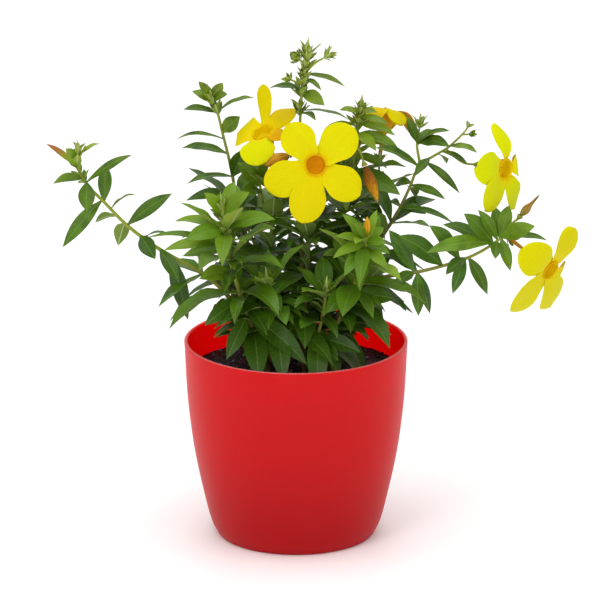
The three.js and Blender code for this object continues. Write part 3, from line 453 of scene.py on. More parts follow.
def whorl_leaf(axis, draws, attempt):
    """A leaf of a whorl, in one of its tries."""
    place, azimuth, rise, length, sag, roll = draws
    turn, lift, size = attempt
    root = seat_on(axis.runs, axis.curve.at(place))
    along = axis.curve.along(place)
    out = turned_about(unit(np.cross(RIGHT, along)), along, azimuth + turn)
    slope = math.radians(rise + lift)
    way = along * math.cos(slope) + out * math.sin(slope)
    reach = length * size
    bend = root + way * reach * 0.5 + UP * reach * sag * WHORL_ARCH["up"]
    tip = root + way * reach * WHORL_ARCH["reach"] - UP * reach * sag
    facing = unit(UP + along * WHORL_ARCH["lean"] + out * roll)
    return dict(root=root, bend=bend, tip=tip, facing=facing, width=reach * LEAF_WIDTH_SHARE, folded=False)


def spine(leaf, shares):
    """The middle line of a leaf, with its unit directions along, across and up from the face."""
    t = np.asarray(shares, float)[:, None]
    root, bend, tip = leaf["root"], leaf["bend"], leaf["tip"]
    centre = (1 - t) ** 2 * root + 2 * t * (1 - t) * bend + t ** 2 * tip
    along = 2 * (1 - t) * (bend - root) + 2 * t * (tip - bend)
    along /= np.linalg.norm(along, axis=1, keepdims=True)
    side = unit(np.cross(tip - root, leaf["facing"]))
    across = side - along * (along @ side)[:, None]
    across /= np.linalg.norm(across, axis=1, keepdims=True)
    return centre, along, across, np.cross(across, along)


class Solid:
    """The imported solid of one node, which shows which try each leaf was grown in."""

    REACH = 0.05

    def __init__(self, node):
        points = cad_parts[node].data.vertices
        self.tree = kdtree.KDTree(len(points))
        for i, point in enumerate(points):
            self.tree.insert(point.co, i)
        self.tree.balance()

    def has(self, point):
        return self.tree.find(Vector(point * MM))[2] < self.REACH * MM

    def grown(self, tries, shape, outline):
        """The first try whose tip and last wide place the solid has, or None."""
        place, share = outline[-1]
        for attempt in tries:
            leaf = shape(attempt)
            centre, _, across, normal = (rows[0] for rows in spine(leaf, [place]))
            half = share * leaf["width"] / 2
            rise = half * BLADE_FOLD if leaf["folded"] else 0
            corners = [centre + across * side * half + normal * (rise + face * BLADE_THICKNESS / 2)
                       for side in (-1, 1) for face in (-1, 1)]
            if self.has(leaf["tip"]) and any(self.has(corner) for corner in corners):
                return leaf
        return None


def keep(leaves, leaf, place, kind):
    if leaf:
        leaves.append(dict(leaf, place=place, kind=kind, length=np.linalg.norm(leaf["tip"] - leaf["root"])))


def grow_tips(solid, growth, axis, draws, leaves):
    """The leaves with tips of their own on one axis, and the young ones at its end."""
    for row in growth.get("leaves", []):
        place = axis.place(row[0])
        outline = LEAF_OUTLINE if row[4] > NARROW_TO_WIDTH else SMALL_OUTLINE
        leaf = solid.grown(TIP_TRIES, lambda t: tip_leaf(axis, place, row, t), outline)
        keep(leaves, leaf and dict(leaf, row=tuple(row[1:4])), place, "tip")
    if "tuft" not in growth:
        return
    knot, length, count = growth["tuft"]
    place = axis.place(knot - TUFT["back"])
    for i in range(count):
        azimuth = i * 360 / count + draws.spread(TUFT["turn_jitter"])
        rise = TUFT["rise"] + draws.spread(TUFT["rise_jitter"])
        reach = length * (1 + draws.spread(TUFT["length_jitter"]))
        drawn = (place, azimuth, rise, reach, TUFT["sag"], TUFT["roll"])
        keep(leaves, solid.grown(TRIES, lambda t: whorl_leaf(axis, drawn, t), SMALL_OUTLINE), 1, "tuft")


def grow_whorls(solid, growth, axis, draws, leaves):
    """Whorls at even distances along a stem, older and lower ones flatter and longer."""
    first, last, distance, count, length = growth["whorls"]
    start, end = axis.place(first), axis.place(last)
    rows = max(1, math.floor(axis.curve.length * (end - start) / distance + 0.5))
    for row in range(rows + 1):
        age = 1 - row / rows
        place = start + (end - start) * row / rows
        turn = row * WHORL_TURN + draws.spread(AZIMUTH_JITTER)
        for i in range(count):
            azimuth = turn + i * 360 / count + draws.spread(AZIMUTH_JITTER / 2)
            rise = RISE["young"] + (RISE["old"] - RISE["young"]) * age + draws.spread(RISE["jitter"])
            reach = length * (YOUNG_LENGTH + (1 - YOUNG_LENGTH) * age + draws.spread(LENGTH_JITTER))
            sag = SAG["young"] + (SAG["old"] - SAG["young"]) * age + draws.spread(SAG["jitter"])
            drawn = (place, azimuth, rise, reach, sag, draws.spread(ROLL_JITTER))
            outline = LEAF_OUTLINE if reach > SHORT_TO_LENGTH else SMALL_OUTLINE
            keep(leaves, solid.grown(TRIES, lambda t: whorl_leaf(axis, drawn, t), outline), place, "whorl")


def grow_plant():
    """Each stem's axes and leaves, in the order in which the solids drew their random numbers."""
    draws = Draws(SEED)
    plants = []
    for stem in STEMS:
        axis = stem_axis(stem["foot"], stem["path"], stem["thick"])
        shoots = [(row, shoot_axis(row["path"], row["thick"], axis)) for row in stem.get("shoots", [])]
        solid = Solid(stem["name"])
        plants.append(dict(stem=stem, name=stem["name"], axis=axis, shoots=shoots, solid=solid, leaves=[]))
    for plant in plants:
        for growth, axis in [(plant["stem"], plant["axis"]), *plant["shoots"]]:
            grow_tips(plant["solid"], growth, axis, draws, plant["leaves"])
    for plant in plants:
        grow_whorls(plant["solid"], plant["stem"], plant["axis"], draws, plant["leaves"])
    return plants


# Finer pieces

# How young leaves look: from and to which share of their stem, and at most
YOUTH = dict(
    stem_left_near=(0.45, 0.9, 0.7), stem_right_near=(0.5, 0.9, 0.75), stem_right_rear=(0.4, 0.95, 0.7),
    stem_left_arch=(0.8, 0.94, 0.9), stem_right_low=(0.8, 1.1, 0.6), stem_middle=(0.6, 1.0, 0.5),
)
OTHER_YOUTH = (0.85, 1.15, 0.6)
# The leaf whose outer half is flushed with red, by its tip
RED_TIPS = {(-176, -16, 294): 0.85}
# The smallest leaves at a stem's end, as shares of its young leaves' length
SPROUT = dict(count=8, rise=(8, 52), length=(0.55, 1.0), width=0.38)
# The youngest leaf of all, still rolled up at the very end
SPIKE = dict(length=1.15, width=0.16, rise=2, up=0.8)
# How a small young leaf curves, and how far below a stem's end its sprout starts
UPRIGHT = dict(bow=0.16, lean=0.6, fold=0.4)
SPROUT_SINK = 1.5
# Young leaves that hug a stem: from how far below its end and to where, and how many at each place
HUGS = dict(
    stem_tall=[(31, 0, 5), (46, 34, 3)], stem_left_arch=[(27, 0, 2)], stem_left_rear=[(14, 0, 3)],
    stem_right_rear=[(62, 0, 2), (16, 0, 2)], stem_left_near=[(34, 0, 3)],
)
HUG = dict(every=3.6, rise=(18, 52), length=(7, 13), width=0.44, turn=90, jitter=25)
# Directions that aren't along a stem or a bud, from which turns round it are measured
STEM_SIDE, BUD_SIDE = RIGHT + FRONT * 0.2, RIGHT + FRONT * 0.3
# The leaves that fill the bush, for all stems or for some: where along them, how
# many tries, the room that they keep to and their measures
FILLS = [
    dict(
        every=3.2, tries=7, low=138, high=236, left=-60, right=68, sight=-30,
        rise=(46, 96), length=(26, 46), width=(0.24, 0.32), sag=(0.05, 0.4),
    ),
    dict(
        stems=["stem_right_rear"], every=4, tries=8, low=222, high=290, left=8, right=92, sight=40, crest=116,
        rise=(60, 96), length=(24, 38), width=(0.18, 0.25), sag=(0.0, 0.25),
    ),
]
FILL_FLOOR = 125

# A blade: its places across, how its rows close up and how round it is, its ranges
# of fold and of waves, how far its edge waves and its tip drops, and its thickness
LEAF_ROWS = 13
LEAF_COLUMNS = (-1, -0.68, -0.34, 0, 0.34, 0.68, 1)
LEAF_FORM = dict(
    rows=0.94, round=1.08, fold=(0.16, 0.42), waves=(1.2, 2.4), wave=0.11, drop=0.035, edge=0.05,
    half_thickness=0.16, thin=0.45,
)
# The rib and stalk of a blade. Both are slighter on one narrower than full.
RIB = dict(spread=0.2, thick=0.3, fade=1.4, full=14)
PETIOLE = dict(half=0.45, thick=0.35, share=0.14, full=12)
# Random phases of waves, in radians
PHASES = (0, 6.3)
GOLDEN_ANGLE = 137.5
# A cluster of buds: its core as shares of its radius, and the scales round it
KNOB = dict(core=0.7, steps=9, sides=12, scales=17, ragged=(0.85, 1.35), width=0.7, fold=-0.25, wave=0.3)
CLUSTER = dict(leaves=8, rise=(6, 58), reach=(1.9, 3.2), width=0.42)
# A bud cluster smaller than this has opened into tiny leaves
OPENED_BELOW = 3
LOOKS_SEED = 7
looks = np.random.default_rng(LOOKS_SEED)
# The materials of a grown piece, and the shares of a stem's length between which its
# wood turns from brown to green
BLADE, WOOD = 0, 1
WOOD_TURN = dict(
    stem_left_near=(0.3, 0.8), stem_right_near=(0.3, 0.8), stem_left_arch=(0.05, 0.6), stem_tall=(0.2, 0.7),
)
OLD_WOOD = (0.45, 1.0)
SHOOT_WOOD = (-0.5, 0.3)
STEM_SIDES = 10
STEM_SPACING = 3.5
KNOT = dict(rise=0.28, reach=2.2)


class Crowd:
    """The places that are taken, to keep new leaves clear of them."""

    def __init__(self):
        self.trees, self.lows, self.highs = [], [], []

    def claim(self, points, faces):
        self.trees.append(bvhtree.BVHTree.FromPolygons(points.tolist(), faces))
        self.lows.append(points.min(0))
        self.highs.append(points.max(0))

    def is_clear(self, points, faces):
        low, high = points.min(0), points.max(0)
        near = np.nonzero((np.array(self.lows) <= high).all(1) & (np.array(self.highs) >= low).all(1))[0]
        tree = bvhtree.BVHTree.FromPolygons(points.tolist(), faces)
        return not any(tree.overlap(self.trees[i]) for i in near)


crowd = Crowd()


class Shape:
    """Points and faces of one piece, with what its materials read at each point.

    where holds how far a point is across or round its leaf, rod, petal or bud and
    how far along it, and then 1 on an upper face and -1 on an under face, or the
    share of a bud's length. growth holds three numbers of a part: how young a
    leaf or wood is or how deep a petal's throat is, or 1 on the pot's inside and
    on grit, then a random share, and how red a leaf is or how a petal leans.
    """

    def __init__(self):
        self.points, self.faces, self.kinds, self.where, self.growth = [], [], [], [], []
        self.count = 0

    def add(self, points, faces, kind, where, growth):
        points = np.reshape(points, (-1, 3))
        self.points.append(points)
        self.faces += [tuple(i + self.count for i in face) for face in faces]
        self.kinds += [kind] * len(faces)
        for rows, values in ((self.where, where), (self.growth, growth)):
            rows.append(np.broadcast_to(np.reshape(values, (-1, 3)), points.shape))
        self.count += len(points)

    def piece(self, name, materials, sharp=50):
        mesh = bpy.data.meshes.new(name)
        mesh.from_pydata((np.concatenate(self.points) * MM).tolist(), [], self.faces)
        for label, rows in (("where", self.where), ("growth", self.growth)):
            layer = mesh.attributes.new(label, "FLOAT_VECTOR", "POINT")
            layer.data.foreach_set("vector", np.concatenate(rows).astype(np.float32).ravel())
        for material in materials:
            mesh.materials.append(material)
        mesh.polygons.foreach_set("material_index", self.kinds)
        mesh.polygons.foreach_set("use_smooth", [True] * len(self.faces))
        mesh.set_sharp_from_angle(angle=math.radians(sharp))
        mesh.update()
        piece = bpy.data.objects.new(name, mesh)
        bpy.context.scene.collection.objects.link(piece)
        return piece


def finished(piece, node):
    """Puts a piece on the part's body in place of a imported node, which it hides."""
    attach(piece, "root")
    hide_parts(node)
    return piece


def shell_faces(rows, columns):
    """Faces of a closed thin sheet: an upper grid of points, then a lower one."""
    under = rows * columns
    grid = np.arange(under).reshape(rows, columns).tolist()
    faces = []
    for low, high in zip(grid, grid[1:]):
        for a, b, c, d in zip(low, low[1:], high[1:], high):
            faces += [(a, b, c, d), (d + under, c + under, b + under, a + under)]
    border = [row[0] for row in grid] + grid[-1][1:] + [row[-1] for row in grid[-2::-1]] + grid[0][-2:0:-1]
    return faces + [(a, b, b + under, a + under) for a, b in zip(border, border[1:] + border[:1])]


LEAF_FACES = shell_faces(LEAF_ROWS, len(LEAF_COLUMNS))
# The same without the first rows, the leaf's stalk, which may touch a stem
STALK_ROWS = 3
FREE_FACES = [face for face in LEAF_FACES
              if min(i % (LEAF_ROWS * len(LEAF_COLUMNS)) for i in face) >= STALK_ROWS * len(LEAF_COLUMNS)]


def sheet(centre, across, normal, x, lift, thick, along):
    """The points of a closed sheet x across and lift above its centres, and their places."""
    middle = centre + across[:, None] * x[..., None] + normal[:, None] * lift[..., None]
    raised = normal[:, None] * thick[..., None]
    points = np.reshape([middle + raised, middle - raised], (-1, 3))
    flat = np.stack([x, np.broadcast_to(along[:, None], x.shape), np.ones_like(x)], 2)
    return points, np.array([flat, flat * (1, 1, -1)])


def leaf_sheet(leaf, fold=None, wave=1.0):
    """A folded, gently waved blade with a raised rib beneath and a short stalk, and its random share."""
    t = np.linspace(0, 1, LEAF_ROWS) ** LEAF_FORM["rows"]
    u = np.array(LEAF_COLUMNS)
    length, width = leaf["length"], leaf["width"]
    centre, _, across, normal = spine(leaf, t)
    fold = looks.uniform(*LEAF_FORM["fold"]) if fold is None else fold
    phase, turns, chance = looks.uniform(*PHASES, 2), looks.uniform(*LEAF_FORM["waves"]), looks.random()
    half = width / 2 * (4 * t * (1 - t)).clip(0) ** LEAF_FORM["round"]
    least = np.where(t < PETIOLE["share"], min(PETIOLE["half"], width / 8), LEAF_FORM["edge"])
    half = np.maximum(half, least)
    centre = centre - normal * (length * LEAF_FORM["drop"] * smooth(0.6, 1, t) ** 2)[:, None]
    x = half[:, None] * u
    ripple = np.stack([np.sin(t * turns * 2 * math.pi + phase[int(side > 0)]) for side in u], 1)
    lift = np.abs(x) * fold + ripple * wave * np.abs(u) ** 2 * half[:, None] * LEAF_FORM["wave"]
    rib = np.exp(-(u / RIB["spread"]) ** 2) * RIB["thick"] * (1 - t[:, None]) ** RIB["fade"]
    stalk = PETIOLE["thick"] * (1 - smooth(0, PETIOLE["share"], t))[:, None]
    thick = LEAF_FORM["half_thickness"] * (1 - LEAF_FORM["thin"] * np.abs(u))
    thick = thick + rib * min(1, width / RIB["full"]) + stalk * min(1, width / PETIOLE["full"])
    return (*sheet(centre[:, None], across, normal, x, lift, thick, t * length), chance)


def add_leaf(shape, leaf, young, red=0.0, fold=None, wave=1.0):
    points, where, chance = leaf_sheet(leaf, fold, wave)
    shape.add(points, LEAF_FACES, BLADE, where, (young, chance, red))
    crowd.claim(points, LEAF_FACES)


def rings(centres, radii, sides):
    """Rings of points round a line, each turned as little as possible from the one before."""
    centres = np.asarray(centres, float)
    along = np.gradient(centres, axis=0)
    along /= np.linalg.norm(along, axis=1, keepdims=True)
    out = np.cross(along[0], RIGHT if abs(along[0][0]) < 0.9 else UP)
    angles = np.arange(sides) * 2 * math.pi / sides
    points = []
    for centre, way, radius in zip(centres, along, radii):
        out = unit(out - way * (way @ out))
        side = np.cross(way, out)
        radius = np.broadcast_to(radius, sides)[:, None]
        points.append(centre + radius * (np.cos(angles)[:, None] * out + np.sin(angles)[:, None] * side))
    return np.array(points)


def ring_faces(rows, sides):
    """Faces between rings, with both ends filled."""
    faces = []
    for i in range(rows - 1):
        a, b = i * sides, (i + 1) * sides
        for j in range(sides):
            k = (j + 1) % sides
            faces.append((a + j, a + k, b + k, b + j))
    faces.append(tuple(range(sides))[::-1])
    faces.append(tuple((rows - 1) * sides + j for j in range(sides)))
    return faces


def add_rod(shape, centres, radii, sides, kind, growth):
    """A closed rod. growth may differ from ring to ring."""
    points = rings(centres, radii, sides)
    length = np.concatenate([[0], np.cumsum(np.linalg.norm(np.diff(centres, axis=0), axis=1))])
    where = np.zeros(points.shape)
    where[..., 0] = np.arange(sides) / sides
    where[..., 1] = length[:, None]
    growth = np.broadcast_to(np.reshape(growth, (-1, 1, 3)), points.shape)
    faces = ring_faces(len(points), sides)
    shape.add(points, faces, kind, where, growth)
    crowd.claim(points.reshape(-1, 3), faces)


def add_stem(shape, axis, fresh, knots=()):
    """The wood of a stem or shoot, a little thicker at its knots and green where it is young."""
    curve = axis.curve
    count = max(6, round(curve.length / STEM_SPACING))
    centres = np.array(curve.spaced(count))
    lengths = np.linspace(0, curve.length, count + 1)
    radii = axis.thick[0] + (axis.thick[1] - axis.thick[0]) * lengths / curve.length
    for knot in knots:
        at = np.interp(knot, curve.shares, curve.reach)
        radii = radii + KNOT["rise"] * np.exp(-((lengths - at) / KNOT["reach"]) ** 2)
    radii[-1] *= 0.5
    share = lengths / curve.length
    growth = np.stack([smooth(*fresh, share), np.full_like(share, looks.random()), np.zeros_like(share)], 1)
    add_rod(shape, centres, radii, STEM_SIDES, WOOD, growth)


def add_upright(shape, root, way, out, rise, reach, width, young):
    """A small young leaf that leans out from its stem and curves up again."""
    slope = math.radians(rise)
    direction = way * math.cos(slope) + out * math.sin(slope)
    bend = root + direction * reach * 0.5 + out * reach * UPRIGHT["bow"]
    facing = unit(way - out * UPRIGHT["lean"])
    leaf = dict(root=root, bend=bend, tip=root + direction * reach, facing=facing, width=width, length=reach)
    add_leaf(shape, leaf, young, fold=UPRIGHT["fold"])


def add_knob(shape, centre, way, radius):
    """A round cluster of green buds: a core under pointed scales that stand off at their tips."""
    centre = np.array(centre, float)
    steps = np.linspace(-1, 1, KNOB["steps"])
    core = [centre + way * radius * step for step in steps]
    radii = radius * KNOB["core"] * np.sqrt(np.maximum(1 - steps ** 2, 0.02))
    add_rod(shape, core, radii, KNOB["sides"], BLADE, (0.5, looks.random(), 0))
    side = unit(np.cross(way, BUD_SIDE))
    for i in range(KNOB["scales"]):
        high = i / (KNOB["scales"] - 1)
        out = turned_about(side, way, i * GOLDEN_ANGLE)
        ragged = looks.uniform(*KNOB["ragged"])
        # From the lowest scales, which spread outwards, to the highest, which close over the top
        low = centre + (out * 0.5 - way * (1 - 0.9 * high)) * radius
        tip = centre + (out * (1.1 - 0.65 * high) + way * (0.1 + 1.15 * high)) * radius * ragged
        bend = (low + tip) / 2 + out * radius * (0.45 - 0.2 * high)
        scale = dict(root=low, bend=bend, tip=tip, facing=out, width=radius * KNOB["width"],
                     length=np.linalg.norm(tip - low))
        add_leaf(shape, scale, young=looks.uniform(0.45, 1.0), fold=KNOB["fold"], wave=KNOB["wave"])


def add_cluster(shape, centre, way, radius):
    """A few tiny leaves that open from one bud."""
    foot = np.array(centre, float) - way * radius
    side = unit(np.cross(way, BUD_SIDE))
    for i in range(CLUSTER["leaves"]):
        out = turned_about(side, way, i * GOLDEN_ANGLE)
        rise, reach = looks.uniform(*CLUSTER["rise"]), radius * looks.uniform(*CLUSTER["reach"])
        add_upright(shape, foot, way, out, rise, reach, reach * CLUSTER["width"], looks.uniform(0.4, 0.95))


def add_sprout(shape, axis, length):
    """The smallest leaves at the end of a stem, still upright round its growing point."""
    way = axis.curve.along(1)
    root = axis.curve.at(1) - way * SPROUT_SINK
    side = unit(np.cross(STEM_SIDE, way))
    turn = looks.uniform(0, 360)
    for i in range(SPROUT["count"]):
        out = turned_about(side, way, turn + i * GOLDEN_ANGLE)
        reach = length * looks.uniform(*SPROUT["length"])
        rise = looks.uniform(*SPROUT["rise"])
        add_upright(shape, root, way, out, rise, reach, reach * SPROUT["width"], looks.uniform(0.75, 1.0))
    reach = length * SPIKE["length"]
    way = unit(way + UP * SPIKE["up"])
    add_upright(shape, root, way, side, SPIKE["rise"], reach, reach * SPIKE["width"], 1.0)


def add_hugging(shape, axis, low, high, count):
    """Young leaves that hug one stretch of a stem, those of each place turned from the ones below."""
    rows = int((low - high) / HUG["every"])
    for row in range(rows):
        share = axis.curve.share_at(axis.curve.length - low + (row + looks.random() * 0.6) * HUG["every"])
        root, way = axis.curve.at(share), axis.curve.along(share)
        side = unit(np.cross(STEM_SIDE, way))
        for i in range(count):
            turn = row * HUG["turn"] + i * 360 / count + looks.uniform(-HUG["jitter"], HUG["jitter"])
            out = turned_about(side, way, turn)
            length = looks.uniform(*HUG["length"])
            young = min(1, 0.55 + 0.45 * row / rows + looks.uniform(-0.1, 0.1))
            rise = looks.uniform(*HUG["rise"])
            add_upright(shape, root, way, out, rise, length, length * HUG["width"], young)


def youth(plant, place):
    """How young a leaf looks, by its place along its stem and by chance."""
    low, high, most = YOUTH.get(plant["name"], OTHER_YOUTH)
    return most * float(smooth(low, high, place)) * looks.uniform(0.6, 1.0) + looks.uniform(0, 0.16)


def stem_shape(plant):
    """All that grows on one stem, but for its flowers and coloured buds."""
    shape = Shape()
    for leaf in plant["leaves"]:
        young = looks.uniform(0.65, 1.0) if leaf["kind"] == "tuft" else youth(plant, leaf["place"])
        add_leaf(shape, leaf, young, red=RED_TIPS.get(leaf.get("row"), 0))
    places = sorted({round(leaf["place"], 3) for leaf in plant["leaves"] if leaf["kind"] == "whorl"})
    add_stem(shape, plant["axis"], WOOD_TURN.get(plant["name"], OLD_WOOD), places)
    for growth, axis in plant["shoots"]:
        add_stem(shape, axis, SHOOT_WOOD)
        if "knob" in growth:
            add = add_knob if growth["knob"] > OPENED_BELOW else add_cluster
            add(shape, growth["path"][-1], axis.curve.along(1), growth["knob"])
    for growth, axis in [(plant["stem"], plant["axis"]), *plant["shoots"]]:
        if "tuft" in growth:
            add_sprout(shape, axis, growth["tuft"][1])
    for stretch in HUGS.get(plant["name"], []):
        add_hugging(shape, plant["axis"], *stretch)
    add_carriers(shape, plant)
    return shape


def fill_leaf(fill, axis, place):
    """A leaf between the whorls of a stem, as the solids' own are grown."""
    azimuth, rise = looks.uniform(0, 360), looks.uniform(*fill["rise"])
    reach, sag = looks.uniform(*fill["length"]), looks.uniform(*fill["sag"])
    drawn = (place, azimuth, rise, reach, sag, looks.uniform(-ROLL_JITTER, ROLL_JITTER))
    leaf = whorl_leaf(axis, drawn, TRIES[0])
    length = np.linalg.norm(leaf["tip"] - leaf["root"])
    return dict(leaf, width=reach * looks.uniform(*fill["width"]), length=length)


def in_bush(fill, points):
    """Whether a leaf stays within the bush, above the soil and out of the view of it from the front."""
    sight = (points[:, 2] - TARGET[2] / MM) * math.cos(PITCH) + points[:, 1] * math.sin(PITCH)
    return (points[:, 0].min() > fill["left"] and points[:, 0].max() < fill["right"]
            and points[:, 2].min() > FILL_FLOOR and sight.min() > fill["sight"]
            and sight.max() < fill.get("crest", math.inf))


def fill_gaps(fill, plant, shape):
    """More leaves inside the bush, each clear of all that is there before it."""
    axis = plant["axis"]
    steps = int(axis.curve.length / fill["every"])
    for step in range(steps):
        place = float(axis.curve.share_at((step + looks.random()) * fill["every"]))
        if not fill["low"] < axis.curve.at(place)[2] < fill["high"]:
            continue
        for _ in range(fill["tries"]):
            points, where, chance = leaf_sheet(fill_leaf(fill, axis, place))
            if in_bush(fill, points) and crowd.is_clear(points, FREE_FACES):
                shape.add(points, LEAF_FACES, BLADE, where, (youth(plant, place) * 0.8, chance, 0))
                crowd.claim(points, LEAF_FACES)
                break


def carried_by(name):
    """Where each stalk on a stem starts, and the foot, direction and sepals of what it holds."""
    for flower in FLOWERS:
        if flower["stem"] == name:
            way = unit(np.array(flower["faces"], float))
            yield flower["start"], np.array(flower["mouth"]) - way * flower["tube"], way, 5
    for bud in BUDS:
        if bud["stem"] == name:
            foot = np.array(bud["foot"], float)
            yield bud["start"], foot, unit(np.array(bud["tip"]) - foot), 0


# How finely a stalk and the cup at its end are made, and how they taper and widen
STALK = dict(steps=14, sides=8, taper=0.85)
CUP = dict(rows=7, sides=12, flare=1.2)


def add_carriers(shape, plant):
    """The stalk, cup and sepals of each flower and coloured bud on a stem."""
    axes = [plant["axis"], *(axis for _, axis in plant["shoots"])]
    for start, foot, way, sepals in carried_by(plant["name"]):
        start = np.array(start, float)
        seats = [seat_on(axis.runs, start) for axis in axes]
        seat = min(seats, key=lambda point: np.linalg.norm(point - start))
        base = foot - way * (CALYX["length"] + SEAT_GAP)
        straight = min(KNEE["most"], np.linalg.norm(base - seat) * KNEE["share"])
        line = Curve([seat, base - way * straight, base + way * CALYX["sink"]])
        centres = np.array(line.spaced(STALK["steps"]))
        radii = np.linspace(STALK_RADIUS, STALK_RADIUS * STALK["taper"], len(centres))
        add_rod(shape, centres, radii, STALK["sides"], WOOD, (0.9, looks.random(), 0))
        cup = np.linspace(0, 1, CUP["rows"])
        radii = STALK_RADIUS + (CALYX["radius"] - STALK_RADIUS) * np.sin(cup * math.pi / 2) ** CUP["flare"]
        centres = base + np.outer(cup * CALYX["length"], way)
        add_rod(shape, centres, radii, CUP["sides"], WOOD, (0.95, looks.random(), 0))
        for i in range(sepals):
            out = turned_about(unit(np.cross(RIGHT, way)), way, i * 360 / sepals)
            root = base + way * (CALYX["length"] - CALYX["sink"]) + out * (CALYX["radius"] - SEPAL["sink"])
            tip = root + unit(way + out * SEPAL["lean"]) * SEPAL["length"]
            leaf = dict(root=root, bend=(root + tip) / 2 + out * SEPAL["bow"], tip=tip, facing=-out,
                        width=SEPAL["width"], length=SEPAL["length"])
            add_leaf(shape, leaf, young=0.75, fold=0.2)


# Flowers

PETAL_ROWS = 19
PETAL_COLUMNS = np.linspace(-1, 1, 13)
PETAL_FACES = shell_faces(PETAL_ROWS, len(PETAL_COLUMNS))
# How a petal's rows close up to its end, how far one edge lies above the other,
# how far both fall and curl, how often they curl, and how much thinner they are
PETAL_FORM = dict(rows=1.5, twist=0.9, fall=1.1, curl=0.8, waves=5.5, thin=0.4)
# Where a petal is widest: the length of its round end in half widths, and that end's
# largest share. Its claw is narrower by a share, and it swells from there.
PETAL_END = dict(halves=1.25, most=0.42)
PETAL_CLAW = 0.36
PETAL_SWELL = 1.45
# Petals that fall back further than this arch more, by this much for each degree
PETAL_DROOP = 20
DROOP_ARCH = 0.5
PETAL_HALF_THICKNESS = 0.2
FUNNEL_SIDES = 40
FUNNEL_ROWS = 22
# The five flutes of a funnel: their depth as a share, and from which height
FLUTES = dict(depth=0.035, low=-18)
# The bowl that closes the throat, as radius and height
THROAT = [(4.8, -5.4), (3.6, -6.4), (2.0, -7.0), (0.2, -7.2)]
# How deep the orange of each throat is, and how far each petal leans from plain yellow, where -1 is lime and
# 1 is orange. A lean is partly the petal's own hue and partly painted light and shade: shaded petals lean
# golden, lit ones lime.
BLOOMS = dict(
    flower_front=(1.0, [-0.1, -0.2, 0.05, 0.12, 0.05]),
    flower_left=(0, [0.1, 0.3, 0.8, -0.5, 0.15]),
    flower_rear=(0.5, [0.35, 0.1, 0.1, 0.4, 0.6]),
    flower_high=(0.15, [-0.7, -0.8, -0.6, -0.8, -0.8]),
    flower_low=(0.3, [0, -0.3, -0.2, -0.2, 0.1]),
)
PETAL = 0


def petal_half(t, slender):
    """Half the width of a petal along it, as a share: a narrow claw, and a broad round end."""
    widest = 1 - min(PETAL_END["most"], PETAL_END["halves"] * slender / 2)
    rise = PETAL_CLAW + (1 - PETAL_CLAW) * np.sin(np.clip(t / widest, 0, 1) * math.pi / 2) ** PETAL_SWELL
    end = np.sqrt(np.clip(1 - (np.clip(t - widest, 0, 1) / (1 - widest)) ** 2, 0, 1))
    return rise * np.maximum(end, 0.012)


def add_petal(shape, mouth, way, right, top, row, depth, lean):
    """A broad petal with a curled margin, one edge above its neighbour's, hugging the mouth at its claw."""
    angle, reach, tilt, width = row
    arch = PETAL_ARCH + max(0, tilt - PETAL_DROOP) * DROOP_ARCH
    angle, tilt = math.radians(angle), math.radians(tilt)
    out = right * math.cos(angle) + top * math.sin(angle)
    ring = FUNNEL[-1][0] - FUNNEL_WALL
    root = mouth + out * ring - way * PETAL_SINK
    tip = mouth + out * reach * math.cos(tilt) - way * reach * math.sin(tilt)
    bend = mouth + out * reach * 0.5 + way * arch
    leaf = dict(root=root, bend=bend, tip=tip, facing=way)
    t = 1 - (1 - np.linspace(0, 1, PETAL_ROWS)) ** PETAL_FORM["rows"]
    centre, _, across, normal = spine(leaf, t)
    u = PETAL_COLUMNS
    length = np.linalg.norm(tip - root)
    half = width / 2 * petal_half(t, width / length)
    x = half[:, None] * u
    phase = looks.uniform(*PHASES, 2)
    edge = np.abs(u) ** 2.5
    curl = np.stack([np.sin(t * PETAL_FORM["waves"] + phase[int(side > 0)]) for side in u], 1)
    lift = PETAL_FORM["twist"] * u * smooth(0.1, 0.6, t)[:, None] + curl * edge * PETAL_FORM["curl"]
    lift = lift - PETAL_FORM["fall"] * edge * smooth(0.3, 0.9, t)[:, None]
    # The claw follows the round mouth, which falls away to both sides
    hug = (ring - np.sqrt(np.maximum(ring ** 2 - x ** 2, 0))) * (1 - smooth(0.02, 0.34, t))[:, None]
    thick = PETAL_HALF_THICKNESS * (1 - PETAL_FORM["thin"] * edge) * np.ones_like(x)
    middle = centre[:, None] - out * hug[..., None]
    points, where = sheet(middle, across, normal, x, lift, thick, t * length)
    shape.add(points, PETAL_FACES, PETAL, where, (depth, looks.random(), lean))


